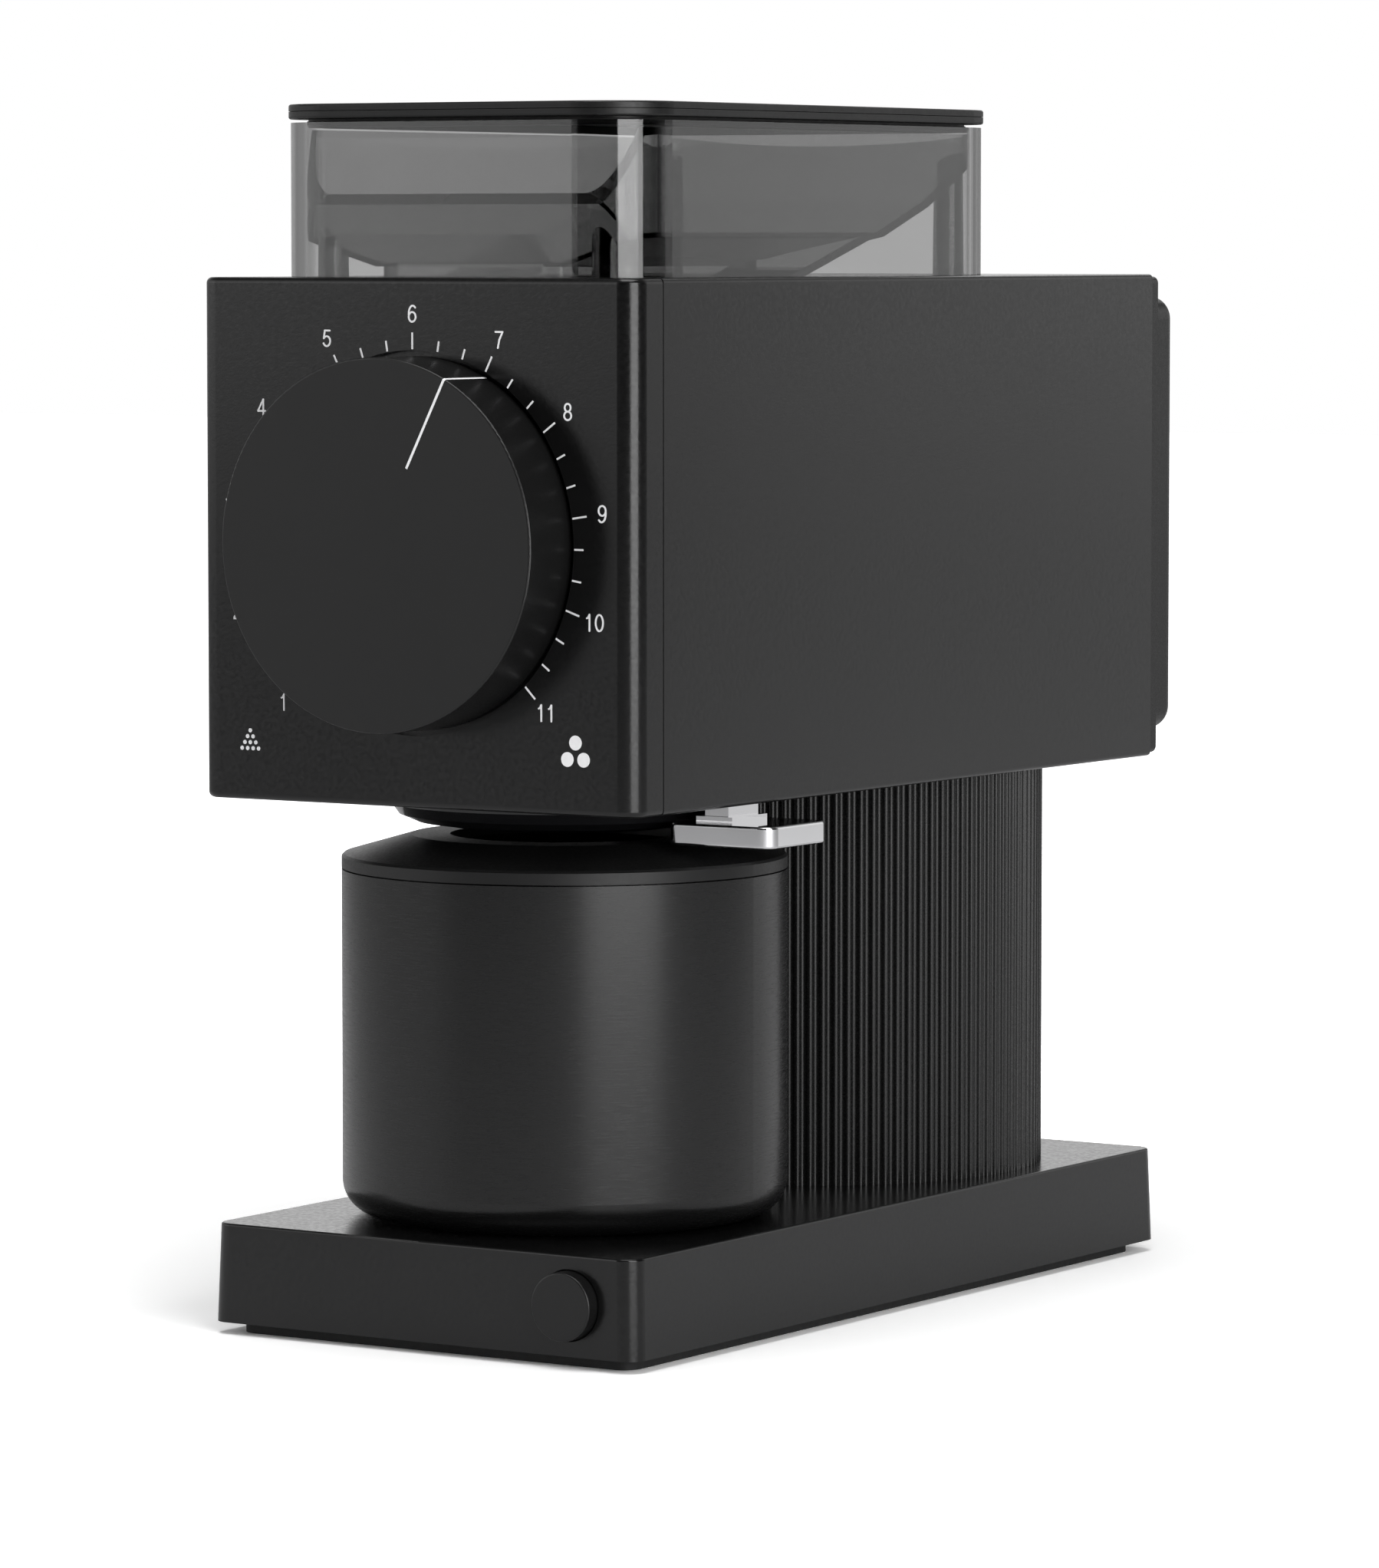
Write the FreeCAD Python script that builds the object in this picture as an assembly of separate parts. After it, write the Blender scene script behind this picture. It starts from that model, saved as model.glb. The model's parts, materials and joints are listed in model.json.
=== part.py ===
import FreeCAD, Part
import math
import os

# Electric flat-burr coffee grinder, built as its separate pieces.
# Units are millimetres, +Z is up and +X is the user's right seen from the front.
# The front, with the grind dial, faces -Y. The origin is the middle of the
# underside of the foot mat, so the floor is z = 0.

V = FreeCAD.Vector
X_DIR = V(1, 0, 0)
Y_DIR = V(0, 1, 0)
Z_DIR = V(0, 0, 1)

# ---- general -------------------------------------------------------------
BODY_W = 105.0            # width of the head, the size everything else follows
MOVE_GAP = 0.3            # least air between pieces that move apart
RUN_FIT = 0.05            # radial clearance of a shaft in its bearing
EPS = 1.0                 # overshoot of a cutting tool past the face it cuts
TINY = 1e-3               # two values closer than this count as the same

# ---- foot and base -------------------------------------------------------
FOOT_W = 95.4
FOOT_L = 202.2
FOOT_H = 2.5
BASE_W_TOP = 102.0
BASE_L_TOP = 209.8
BASE_FLARE = 0.6          # how much further each side stands out at the bottom
BASE_TOP_Z = 22.7
BASE_CORNER_R = 4.0
BASE_INNER_R = 3.0
BASE_EDGE_R = 0.5
WIRE_HOLE_R = 7.0         # hole for the wiring between base, column and head
BASE_WALL = 3.0
PLATE_T = 1.5
PLATE_CLEAR = 0.3
BASE_BOSS_R = 3.6
BASE_BOSS_X = 41.0
BASE_BOSS_Y = 80.0
BASE_SCREW_R = 1.3
BASE_SCREW_HEAD_R = 2.8
BASE_SCREW_L = 11.0

# ---- start button --------------------------------------------------------
BUTTON_X = 35.8
BUTTON_Z = 12.65
BUTTON_R = 6.9
BUTTON_PROUD = 3.0
BUTTON_TRAVEL = 1.2
BUTTON_FLANGE_R = 8.3
BUTTON_FLANGE_T = 1.5
BUTTON_STEM_R = 2.4
BUTTON_STEM_L = 3.6
BUTTON_EDGE_R = 0.4
BUTTON_POCKET_Z = 21.3    # top of the relief over the button in the base's ceiling
BUTTON_POCKET_D = 7.2
BUTTON_WIRE_R = 0.45
BUTTON_SPRING_R = 3.8
BUTTON_SPRING_L = 4.4
BUTTON_SPRING_TURNS = 3
SWITCH_W = 12.0
SWITCH_D = 8.0
SWITCH_Y = -93.2
SWITCH_TOP_Z = 18.7
SWITCH_PIN_R = 1.8
SWITCH_GAP = 0.1          # air between the switch pin and the fully pressed button

# ---- cord inlet ----------------------------------------------------------
INLET_Z = 12.6
INLET_R = 6.0
INLET_HOLE_R = 3.3
INLET_FLANGE_R = 7.0
INLET_FLANGE_T = 1.2

# ---- column --------------------------------------------------------------
COL_Y = 50.8
COL_A = 45.5              # half width of the oval column
COL_B = 48.4              # half depth of the oval column
FLUTES = 108
FLUTE_R = 0.92
SLEEVE_WALL = 3.2
CORE_HALF = 24.0
CORE_WALL = 2.5
CORE_CORNER_R = 3.0
CORE_INNER_R = 1.0
CORE_BOSS_R = 4.2
CORE_BOSS_OFF = 19.0
CORE_SCREW_R = 1.9
CORE_SCREW_HEAD_R = 3.6
CORE_SCREW_HEAD_T = 2.2
CORE_SCREW_L = 16.0
BOARD_X = -12.0
BOARD_T = 1.6
BOARD_W = 34.0
BOARD_Z0 = 34.0
BOARD_Z1 = 98.0
STANDOFF_R = 2.4
STANDOFF_IN = 6.0         # from the board's edges to its standoffs
CAP_R = 8.0
CAP_L = 22.0
CAP_Z = 50.0
CAP_EDGE_R = 1.0

# ---- head ----------------------------------------------------------------
HEAD_Z0 = 109.5
HEAD_H = 105.0
HEAD_Y0 = -106.5          # front face of the bezel
HEAD_Y1 = 99.5            # rear end of the housing
HEAD_WALL = 3.0
HEAD_EDGE_R = 1.2
HEAD_LONG_EDGE_R = 1.0
BEZEL_D = 10.0
BEZEL_CORNER_R = 4.2
BEZEL_SEAM = 0.3
BEZEL_LIP = 4.0
BEZEL_FACE_T = 4.0        # thickness of the bezel's front face
RECESS_R = 38.2           # round recess that the dial stands in
RECESS_D = 2.0
DIAL_HOLE_R = 12.4
REAR_SEAM = 0.6
REAR_PLATE_T = 2.8
REAR_PLATE_INSET = 0.5
REAR_PLATE_R = 1.5
REAR_SPIGOT = 4.0
COVER_W = 96.0
COVER_H = 95.2
COVER_D = 15.1
COVER_WALL = 2.0
COVER_R = 3.2
COVER_CORNER_R = 5.0
VENT_ROWS = 9
VENT_W = 60.0
VENT_H = 2.4
VENT_R = 1.15
VENT_PITCH = 6.0
REAR_SCREW_OFF = 43.0
REAR_SCREW_R = 1.4
REAR_SCREW_L = 9.0
REAR_SCREW_HEAD_T = 2.0

# ---- dial and scale ------------------------------------------------------
AXIS_Z = 162.0            # axis of dial, burrs and motor
DIAL_R = 37.0
DIAL_FRONT_Y = -120.0
DIAL_REAR_Y = -105.5
DIAL_WALL = 2.4
DIAL_EDGE_R = 0.4
DIAL_BOSS_R = 16.0
HUB_R = 12.0
HUB_SCREWS = 3
HUB_SCREW_RING = 7.0
HUB_SCREW_R = 1.4
HUB_SCREW_L = 13.0
SETTING_DEG = 27.15       # turn from one number to the next
SETTINGS = 11
STEPS_PER_SETTING = 3
TOP_SETTING = 6           # the number at the top of the scale
REST_SETTING = 7          # where the pointer stands
TICK_R0 = 38.4
TICK_MAJOR = 3.3
TICK_MINOR = 2.1
TICK_W = 0.36
INK_T = 0.1
NUMBER_R = 45.4
NUMBER_H = 3.3
DIGIT_W = 0.56            # width of a numeral as a share of its height
DIGIT_STEP = 0.72         # distance between two numerals as a share of their height
STROKE = 0.36
ICON_X = 40.0
ICON_Z = -40.3
FINE_ROWS = 4
FINE_DOT_R = 0.42
FINE_PITCH = 1.36
FINE_ROW = 1.2
COARSE_X = 38.6
COARSE_DOT_R = 1.45
COARSE_RING = 2.2         # ring that the three coarse dots lie on
POINTER_R0 = 17.2
POINTER_W = 0.55
POINTER_T = 0.25

# ---- grinding set --------------------------------------------------------
DETENT_R0 = 22.0
DETENT_R1 = 28.0
DETENT_T = 2.5
BALL_R = 1.4
ADJ_R = 34.1
ADJ_Y0 = -98.4
ADJ_Y1 = -86.2
ADJ_PLATE_T = 3.0
ADJ_THREAD_R = 27.0
CARRIER_R = 34.1
CARRIER_Y0 = -85.0
CARRIER_NECK_Y0 = -94.6
CARRIER_NECK_R0 = 22.0
BURR_R = 32.0
BURR_HOLE_R = 15.0
BURR_T = 6.0
BURR_GAP = 0.9
BURR_TEETH = 36
BURR_RIM = 1.0            # how far the burr's hole clears its carrier's
BURR_GROOVE_HALF = 0.55
BURR_GROOVE_DEPTH = 1.3
BURR_GROOVE_L = 10.5
BURR_GROOVE_TILT = 24.0
BURR_FLAT_R0 = 22.5       # inside this the burr's face slopes down to its hole
BURR_BOWL_DEPTH = 2.2
BURR_MID_Y = -52.9        # middle of the gap between the two burrs
BURR_SCREW_RING = 20.0
BURR_SCREW_R = 1.5
BURR_SCREWS = 3
BURR_SCREW_TURN = 60.0    # turn of the first burr screw from the top
BURR_SCREW_L = 6.8
SCREW_SINK = 2.6
SCREW_DRILL = 4.0
INNER_CARRIER_T = 8.0
INNER_HUB_R = 9.0
SWEEPERS = 4
SWEEPER_HALF = 2.0
SWEEPER_R0 = 29.0
SWEEPER_R1 = 33.5
CHAMBER_R0 = 34.5
CHAMBER_R1 = 38.0
CHAMBER_Y0 = -97.0
CHAMBER_Y1 = -33.5
CHAMBER_BACK_T = 4.0
KEY_HALF = 2.5
KEY_DEPTH = 2.6
KEY_SINK = 2.5            # how far the key is let into the chamber's wall
CARRIER_FACE_T = 2.0
OUTLET_HALF_X = 9.0
OUTLET_HALF_Y = 7.5
SPOUT_WALL = 2.0
SPOUT_Z0 = 119.0
INLET_Y0 = -79.0
INLET_Y1 = -63.0
INLET_HALF_X = 9.0
INLET_EASE = 1.0          # how much wider the chamber's inlet is than the carrier's
THROAT_R = 2.0
AUGER_Y0 = -82.0
AUGER_L = 24.0
AUGER_CORE_R = 7.0
AUGER_ROOT_R = 5.0
AUGER_R = 12.6
AUGER_TURNS = 1.6
AUGER_BLADE_T = 1.6

# ---- motor ---------------------------------------------------------------
SHAFT_R = 4.0
SHAFT_Y0 = -82.0
SHAFT_Y1 = 78.0
MOUNT_T = 3.0
MOUNT_HALF = 49.0
MOUNT_TOP_Z = 198.0
CAN_R = 36.0
CAN_WALL = 2.0
CAN_Y1 = 56.0
MAGNET_R0 = 30.6
MAGNET_DEG = 110.0
MAGNET_OVER = 3.0         # how far the magnets stand past the rotor
ROTOR_R = 29.8
ROTOR_Y0 = -14.0
ROTOR_Y1 = 36.0
ROTOR_SLOTS = 12
SLOT_RING = 23.0          # ring that the rotor's wire slots lie on
SLOT_R = 3.4
SLOT_MOUTH = 2.0
WINDING_R0 = 13.0
WINDING_R1 = 27.2
WINDING_L = 7.5
COMMUTATOR_R = 9.0
COMMUTATOR_L = 9.0
COMMUTATOR_Y0 = 44.5
SLIT_HALF = 0.25
SLIT_DEPTH = 1.0
BRUSH_HALF = 2.6
BRUSH_L = 9.0
BRUSH_GAP = 0.35
REAR_CAP_T = 6.0
CAP_PORTS = 6
CAP_PORT_RING = 22.0
CAP_PORT_R = 6.0
BEARING_R = 11.0
REAR_BEARING_R = 8.5
FAN_Y0 = 66.0
FAN_T = 9.0
FAN_R = 33.0
FAN_HUB_R = 9.0
FAN_BLADES = 9
FAN_BLADE_HALF = 0.8
FAN_BLADE_R0 = 8.0
FAN_BLADE_R1 = 31.0
FAN_TWIST = 28.0

# ---- hopper --------------------------------------------------------------
HOP_HALF = 44.6
HOP_Y0 = -95.2
HOP_Y1 = 49.6
HOP_R = 14.3
HOP_WALL = 3.0
HOP_TOP_Z = 245.5
LID_Z0 = 246.2
LID_T = 1.5
LID_SPLIT = 0.12
LID_OVER = 0.4
LID_EDGE_R = 0.5
PLUG_CLEAR = 0.6
PLUG_WALL = 2.5
PLUG_H = 1.7
SEAL_OUT = 0.25
SEAL_H = 0.9
OUT_HALF_X = 21.0
OUT_Y0 = -84.0
OUT_Y1 = -16.0
FUNNEL_T = 1.8
FUNNEL_NECK_Z = 211.8
FUNNEL_Z0 = 216.6
FUNNEL_FLOOR_T = 0.9      # how much the inside starts above the outside at the outlet
FUNNEL_FIT = 0.16
OUT_R = 4.0
FUNNEL_RIM_Z = 229.0      # top of the funnel's low front wall
FUNNEL_TOP_Z = 244.1
FUNNEL_CUT_Z = 260.0      # well above the hopper
SIDE_FALL = (30.0, 9.6)  # run and rise of the floor beside the outlet
FRONT_FALL = (18.0, 40.0)
REAR_LEDGE = (2.0, 1.0)
REAR_FALL_LOW = (32.4, 11.2)
REAR_FALL_HIGH = (32.0, 15.9)
REAR_FOOT_Y = -29.0       # the rear slope reaches the head's top here, at both sides
SADDLE_Z = 241.9          # lowest point of the curved top of the rear wall
SADDLE_R = 337.0
SADDLE_Y0 = 20.0
NOTCH_Y0 = -91.0          # the walls rise from the rim, here,
NOTCH_Y1 = -84.0          # to their full height round the front corners
POST_R = 3.0
POST_TAPER = 0.3
POST_L = 27.5
FRONT_POST_X = 33.0
FRONT_POST_Y = -86.0
REAR_POST_X = 35.5
REAR_POST_Y = 38.0

# ---- grounds chute, cup, knocker -----------------------------------------
CUP_Y = -52.5
CUP_R = 45.7
CUP_Z0 = 23.0
CUP_SEAM_Z = 93.8
CUP_WALL = 1.6
CUP_CORNER_R = 7.0
LID_SEAM = 0.3
CUP_BAND_TOP_Z = 96.9
CUP_CONE_R = 31.5
CUP_TOP_Z = 100.8
CUP_MOUTH_R = 23.5
CUP_LID_T = 1.8
CUP_BAND_EDGE = 0.5
SKIRT_DEPTH = 6.0
SKIRT_GAP = 0.25
SEAL_GROOVE_D = 0.8
SEAL_GROOVE_Z = 89.4
SEAL_GROOVE_H = 1.6
SEAL_LIP_GAP = 0.02
SEAL_LIP_H = 0.4
SEAL_DEPTH = 1.0
CHUTE_FLANGE_R = 36.0
CHUTE_SHOULDER_R = 34.0
CHUTE_SHOULDER_Z = 105.2
CHUTE_TIP_R = 24.6
CHUTE_TIP_Z = 102.8
CHUTE_TIP_W = 1.2
CHUTE_STEP_R = 35.5
CHUTE_STEP_Z = 107.3
CHUTE_DISH_R = 30.5
CHUTE_DISH_Z = 103.7
CHUTE_BORE_R = 16.5
CHUTE_MOUTH_Z = 108.5
CHUTE_NECK_R = 18.5
CHUTE_TOP_Z = 122.0
LEVER_X0 = 35.2
LEVER_X1 = 60.0
LEVER_Y0 = -69.0
LEVER_Y1 = -46.5
LEVER_Z0 = 101.2
LEVER_Z1 = 105.6
LEVER_CORNER_R = 3.0
LEVER_EDGE_R = 0.5
RISER_X0 = 41.0
RISER_X1 = 46.5
RISER_Y0 = -63.2
RISER_Y1 = -52.0
PIVOT_X = 30.0
PIVOT_Z = 119.0
PIN_R = 1.5
LEVER_HUB_R = 4.0
ARM_HALF = 2.0
STEP_OUT_X = 1.5
STEP_OUT_Y = 1.0
STEP_H = 1.2
NOSE_X = 19.0
NOSE_Y0 = -57.5
SLOT_CLEAR = 0.9
CHEEK_T = 2.0
CHEEK_GAP = 0.8
COIL_WIRE_R = 0.35
COIL_R = 2.6              # middle of the return spring's wire
COIL_L = 4.2
COIL_TURNS = 4

AXIS = V(0, 0, AXIS_Z)
CUP_AXIS = V(0, CUP_Y, 0)
HEAD_TOP_Z = HEAD_Z0 + HEAD_H
HEAD_FLOOR_Z = HEAD_Z0 + HEAD_WALL
HEAD_CEIL_Z = HEAD_TOP_Z - HEAD_WALL
BEZEL_BACK_Y = HEAD_Y0 + BEZEL_D
BEZEL_INNER_Y = HEAD_Y0 + BEZEL_FACE_T
BASE_FRONT_Y = -BASE_L_TOP / 2 - BASE_FLARE / 2
BASE_ROOF_Z = BASE_TOP_Z - BASE_WALL
OUTER_BURR_Y1 = BURR_MID_Y - BURR_GAP / 2
OUTER_BURR_Y0 = OUTER_BURR_Y1 - BURR_T
INNER_BURR_Y0 = BURR_MID_Y + BURR_GAP / 2
INNER_BURR_Y1 = INNER_BURR_Y0 + BURR_T
PLATE_Y = HEAD_Y1 + REAR_SEAM
COVER_Y = PLATE_Y + REAR_PLATE_T
DETENT_MID_Z = AXIS_Z + (DETENT_R0 + DETENT_R1) / 2


# ---- shape helpers -------------------------------------------------------
def box(x0, x1, y0, y1, z0, z1):
    return Part.makeBox(x1 - x0, y1 - y0, z1 - z0, V(x0, y0, z0))


def cyl_z(x, y, r, z0, z1):
    return Part.makeCylinder(r, z1 - z0, V(x, y, z0), Z_DIR)


def cyl_y(x, z, r, y0, y1):
    return Part.makeCylinder(r, y1 - y0, V(x, y0, z), Y_DIR)


def cyl_x(y, z, r, x0, x1):
    return Part.makeCylinder(r, x1 - x0, V(x0, y, z), X_DIR)


def ring_y(r0, r1, y0, y1):
    """Ring around the dial and motor axis."""
    return cyl_y(0, AXIS_Z, r1, y0, y1).cut(cyl_y(0, AXIS_Z, r0, y0 - EPS, y1 + EPS))


def fuse(shapes):
    shapes = list(shapes)
    if len(shapes) == 1:
        return shapes[0]
    return shapes[0].multiFuse(shapes[1:]).removeSplitter()


def around_y(shape, count, start=0.0):
    """Copies of a shape spaced evenly around the dial and motor axis."""
    out = []
    for i in range(count):
        copy = shape.copy()
        copy.rotate(AXIS, Y_DIR, start + 360.0 * i / count)
        out.append(copy)
    return out


def rounded_wire(x0, x1, y0, y1, r, z):
    """Closed rectangle with rounded corners in a level plane."""
    k = r * math.sqrt(0.5)
    edges = []
    corners = [(x1 - r, y0 + r, 1, -1), (x1 - r, y1 - r, 1, 1),
               (x0 + r, y1 - r, -1, 1), (x0 + r, y0 + r, -1, -1)]
    starts = [V(x1 - r, y0, z), V(x1, y1 - r, z), V(x0 + r, y1, z), V(x0, y0 + r, z)]
    ends = [V(x1, y0 + r, z), V(x1 - r, y1, z), V(x0, y1 - r, z), V(x0 + r, y0, z)]
    for i, (cx, cy, sx, sy) in enumerate(corners):
        edges.append(Part.Arc(starts[i], V(cx + sx * k, cy + sy * k, z), ends[i]).toShape())
        edges.append(Part.LineSegment(ends[i], starts[(i + 1) % 4]).toShape())
    return Part.Wire(edges)


def rounded_prism(x0, x1, y0, y1, r, z0, z1):
    face = Part.Face(rounded_wire(x0, x1, y0, y1, r, z0))
    return face.extrude(V(0, 0, z1 - z0))


def turned(points, centre, axis):
    """Solid of revolution from a closed (radius, height) outline."""
    if axis == Z_DIR:
        pts = [V(centre.x + r, centre.y, h) for r, h in points]
    else:
        pts = [V(centre.x + r, h, centre.z) for r, h in points]
    wire = Part.makePolygon(pts + [pts[0]])
    return Part.Face(wire).revolve(centre, axis, 360)


def fillet_where(shape, radius, keep):
    edges = [e for e in shape.Edges if keep(e)]
    return shape.makeFillet(radius, edges)


def edge_along(edge, direction):
    """True for a straight edge that runs along the given direction."""
    if edge.Curve.TypeId != "Part::GeomLine":
        return False
    return abs(abs(edge.tangentAt(edge.FirstParameter).dot(direction)) - 1) < TINY


def in_plane(edge, index, value):
    """True when the whole edge lies at one X, Y or Z value."""
    b = edge.BoundBox
    low = (b.XMin, b.YMin, b.ZMin)[index]
    high = (b.XMax, b.YMax, b.ZMax)[index]
    return abs(low - value) < TINY and abs(high - value) < TINY


def coil(radius, wire_r, length, turns):
    """Round-wire helical spring standing on the origin along +Z."""
    helix = Part.makeHelix(length / turns, length, radius)
    circle = Part.Wire(Part.makeCircle(wire_r, V(radius, 0, 0), Y_DIR))
    return Part.Wire(helix).makePipeShell([circle], True, True)


def screw_up(x, y, z, head_r, head_t, r, length):
    """Screw with its head at z, pointing up."""
    return fuse([cyl_z(x, y, head_r, z, z + head_t), cyl_z(x, y, r, z + head_t, z + length)])


def corners(dx, dy):
    return [(sx * dx, sy * dy) for sx in (-1, 1) for sy in (-1, 1)]


def copies_at(shape, places):
    """Copies of a shape moved level to each (x, y)."""
    out = []
    for x, y in places:
        copy = shape.copy()
        copy.translate(V(x, y, 0))
        out.append(copy)
    return out


# ---- foot and base -------------------------------------------------------
def foot_mat():
    return rounded_prism(-FOOT_W / 2, FOOT_W / 2, -FOOT_L / 2, FOOT_L / 2, BASE_CORNER_R, 0, FOOT_H)


def base_block():
    half_w = BASE_W_TOP / 2
    half_l = BASE_L_TOP / 2
    top = rounded_wire(-half_w, half_w, -half_l, half_l, BASE_CORNER_R, BASE_TOP_Z)
    out_w = half_w + BASE_FLARE
    out_l = half_l + BASE_FLARE
    bottom = rounded_wire(-out_w, out_w, -out_l, out_l, BASE_CORNER_R, FOOT_H)
    block = Part.makeLoft([bottom, top], True, True)
    return fillet_where(block, BASE_EDGE_R, lambda e: in_plane(e, 2, BASE_TOP_Z))


def base_shell():
    half_w = BASE_W_TOP / 2 - BASE_WALL
    half_l = BASE_L_TOP / 2 - BASE_WALL
    pocket = rounded_prism(-half_w, half_w, -half_l, half_l, BASE_INNER_R, FOOT_H - EPS, BASE_ROOF_Z)
    shell = base_block().cut(pocket)
    boss_places = corners(BASE_BOSS_X, BASE_BOSS_Y)
    bosses = [cyl_z(x, y, BASE_BOSS_R, FOOT_H + PLATE_T, BASE_ROOF_Z) for x, y in boss_places]
    shell = fuse([shell] + bosses)
    cuts = [cyl_z(x, y, BASE_SCREW_R, FOOT_H, BASE_ROOF_Z) for x, y in boss_places]
    cuts.append(cyl_y(BUTTON_X, BUTTON_Z, BUTTON_R + MOVE_GAP, BASE_FRONT_Y - EPS, -half_l + EPS))
    relief = BUTTON_FLANGE_R + MOVE_GAP
    cuts.append(box(BUTTON_X - relief, BUTTON_X + relief, -half_l, -half_l + BUTTON_POCKET_D,
                    BUTTON_Z, BUTTON_POCKET_Z))
    cuts.append(cyl_y(0, INLET_Z, INLET_R, half_l - EPS, BASE_L_TOP / 2 + BASE_FLARE + EPS))
    for x, y in corners(CORE_BOSS_OFF, CORE_BOSS_OFF):
        cuts.append(cyl_z(x, y + COL_Y, CORE_SCREW_R, BASE_ROOF_Z - EPS, BASE_TOP_Z + EPS))
    cuts.append(cyl_z(0, COL_Y, WIRE_HOLE_R, BASE_ROOF_Z - EPS, BASE_TOP_Z + EPS))
    return shell.cut(cuts[0].multiFuse(cuts[1:]))


def base_plate():
    half_w = BASE_W_TOP / 2 - BASE_WALL - PLATE_CLEAR
    half_l = BASE_L_TOP / 2 - BASE_WALL - PLATE_CLEAR
    plate = rounded_prism(-half_w, half_w, -half_l, half_l, BASE_INNER_R, FOOT_H, FOOT_H + PLATE_T)
    holes = [cyl_z(x, y, BASE_SCREW_HEAD_R, FOOT_H - EPS, FOOT_H + PLATE_T + EPS)
             for x, y in corners(BASE_BOSS_X, BASE_BOSS_Y)]
    return plate.cut(holes[0].multiFuse(holes[1:]))


def base_screws():
    screw = screw_up(0, 0, FOOT_H, BASE_SCREW_HEAD_R, PLATE_T, BASE_SCREW_R, BASE_SCREW_L)
    return Part.makeCompound(copies_at(screw, corners(BASE_BOSS_X, BASE_BOSS_Y)))


def cord_inlet():
    y_in = BASE_L_TOP / 2 - BASE_WALL
    y_out = BASE_L_TOP / 2 + BASE_FLARE
    bush = cyl_y(0, INLET_Z, INLET_R, y_in - INLET_FLANGE_T, y_out)
    inner = cyl_y(0, INLET_Z, INLET_FLANGE_R, y_in - INLET_FLANGE_T, y_in)
    collar = cyl_y(0, INLET_Z, INLET_FLANGE_R, y_out, y_out + INLET_FLANGE_T)
    hole = cyl_y(0, INLET_Z, INLET_HOLE_R, y_in - 2 * EPS, y_out + 2 * EPS)
    return fuse([bush, inner, collar]).cut(hole)


# ---- start button --------------------------------------------------------
def button_flange_y():
    return -BASE_L_TOP / 2 + BASE_WALL + MOVE_GAP


def button_stem_y():
    return button_flange_y() + BUTTON_FLANGE_T + BUTTON_STEM_L


def start_button():
    y0 = BASE_FRONT_Y - BUTTON_PROUD
    cap = cyl_y(BUTTON_X, BUTTON_Z, BUTTON_R, y0, button_flange_y())
    cap = fillet_where(cap, BUTTON_EDGE_R, lambda e: in_plane(e, 1, y0))
    flange_y1 = button_flange_y() + BUTTON_FLANGE_T
    flange = cyl_y(BUTTON_X, BUTTON_Z, BUTTON_FLANGE_R, button_flange_y(), flange_y1)
    stem = cyl_y(BUTTON_X, BUTTON_Z, BUTTON_STEM_R, flange_y1, button_stem_y())
    return fuse([cap, flange, stem])


def button_spring():
    spring = coil(BUTTON_SPRING_R, BUTTON_WIRE_R, BUTTON_SPRING_L - 2 * BUTTON_WIRE_R, BUTTON_SPRING_TURNS)
    spring.rotate(V(0, 0, 0), X_DIR, -90)
    y0 = button_flange_y() + BUTTON_FLANGE_T + BUTTON_WIRE_R
    spring.translate(V(BUTTON_X, y0, BUTTON_Z))
    return spring


def start_switch():
    x0 = BUTTON_X - SWITCH_W / 2
    body = box(x0, x0 + SWITCH_W, SWITCH_Y, SWITCH_Y + SWITCH_D, FOOT_H + PLATE_T, SWITCH_TOP_Z)
    pin_y = button_stem_y() + BUTTON_TRAVEL + SWITCH_GAP
    pin = cyl_y(BUTTON_X, BUTTON_Z, SWITCH_PIN_R, pin_y, SWITCH_Y)
    return fuse([body, pin])


# ---- column --------------------------------------------------------------
def ellipse_point(a, b, angle):
    return V(a * math.cos(angle), COL_Y + b * math.sin(angle), 0)


def flute_angles():
    """Angles that share the oval's outline into equal lengths."""
    fine = 7200
    total = [0.0]
    last = ellipse_point(COL_A, COL_B, 0)
    for i in range(1, fine + 1):
        point = ellipse_point(COL_A, COL_B, 2 * math.pi * i / fine)
        total.append(total[-1] + point.distanceToPoint(last))
        last = point
    angles = []
    at = 0
    for k in range(2 * FLUTES):
        wanted = total[-1] * k / (2 * FLUTES)
        while total[at] < wanted:
            at += 1
        angles.append(2 * math.pi * at / fine)
    return angles


def fluted_face():
    """Oval with rounded ribs and hollow grooves in turn."""
    angles = flute_angles()
    depth = FLUTE_R / 2
    middle = [ellipse_point(COL_A - depth, COL_B - depth, a) for a in angles]
    edges = []
    for k in range(len(angles)):
        start = middle[k]
        end = middle[(k + 1) % len(angles)]
        chord = (start + end) * 0.5
        out = V(chord.x / COL_A ** 2, (chord.y - COL_Y) / COL_B ** 2, 0).normalize()
        bulge = out * (depth if k % 2 == 0 else -depth)
        edges.append(Part.Arc(start, chord + bulge, end).toShape())
    return Part.Face(Part.Wire(edges))


def column_sleeve():
    height = HEAD_Z0 - BASE_TOP_Z
    outer = fluted_face().extrude(V(0, 0, height))
    inner_wire = Part.Wire(Part.Ellipse(V(0, 0, 0), COL_B - SLEEVE_WALL, COL_A - SLEEVE_WALL).toShape())
    inner = Part.Face(inner_wire).extrude(V(0, 0, height + 2 * EPS))
    inner.rotate(V(0, 0, 0), Z_DIR, 90)
    inner.translate(V(0, COL_Y, -EPS))
    sleeve = outer.cut(inner)
    sleeve.translate(V(0, 0, BASE_TOP_Z))
    return sleeve


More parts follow.
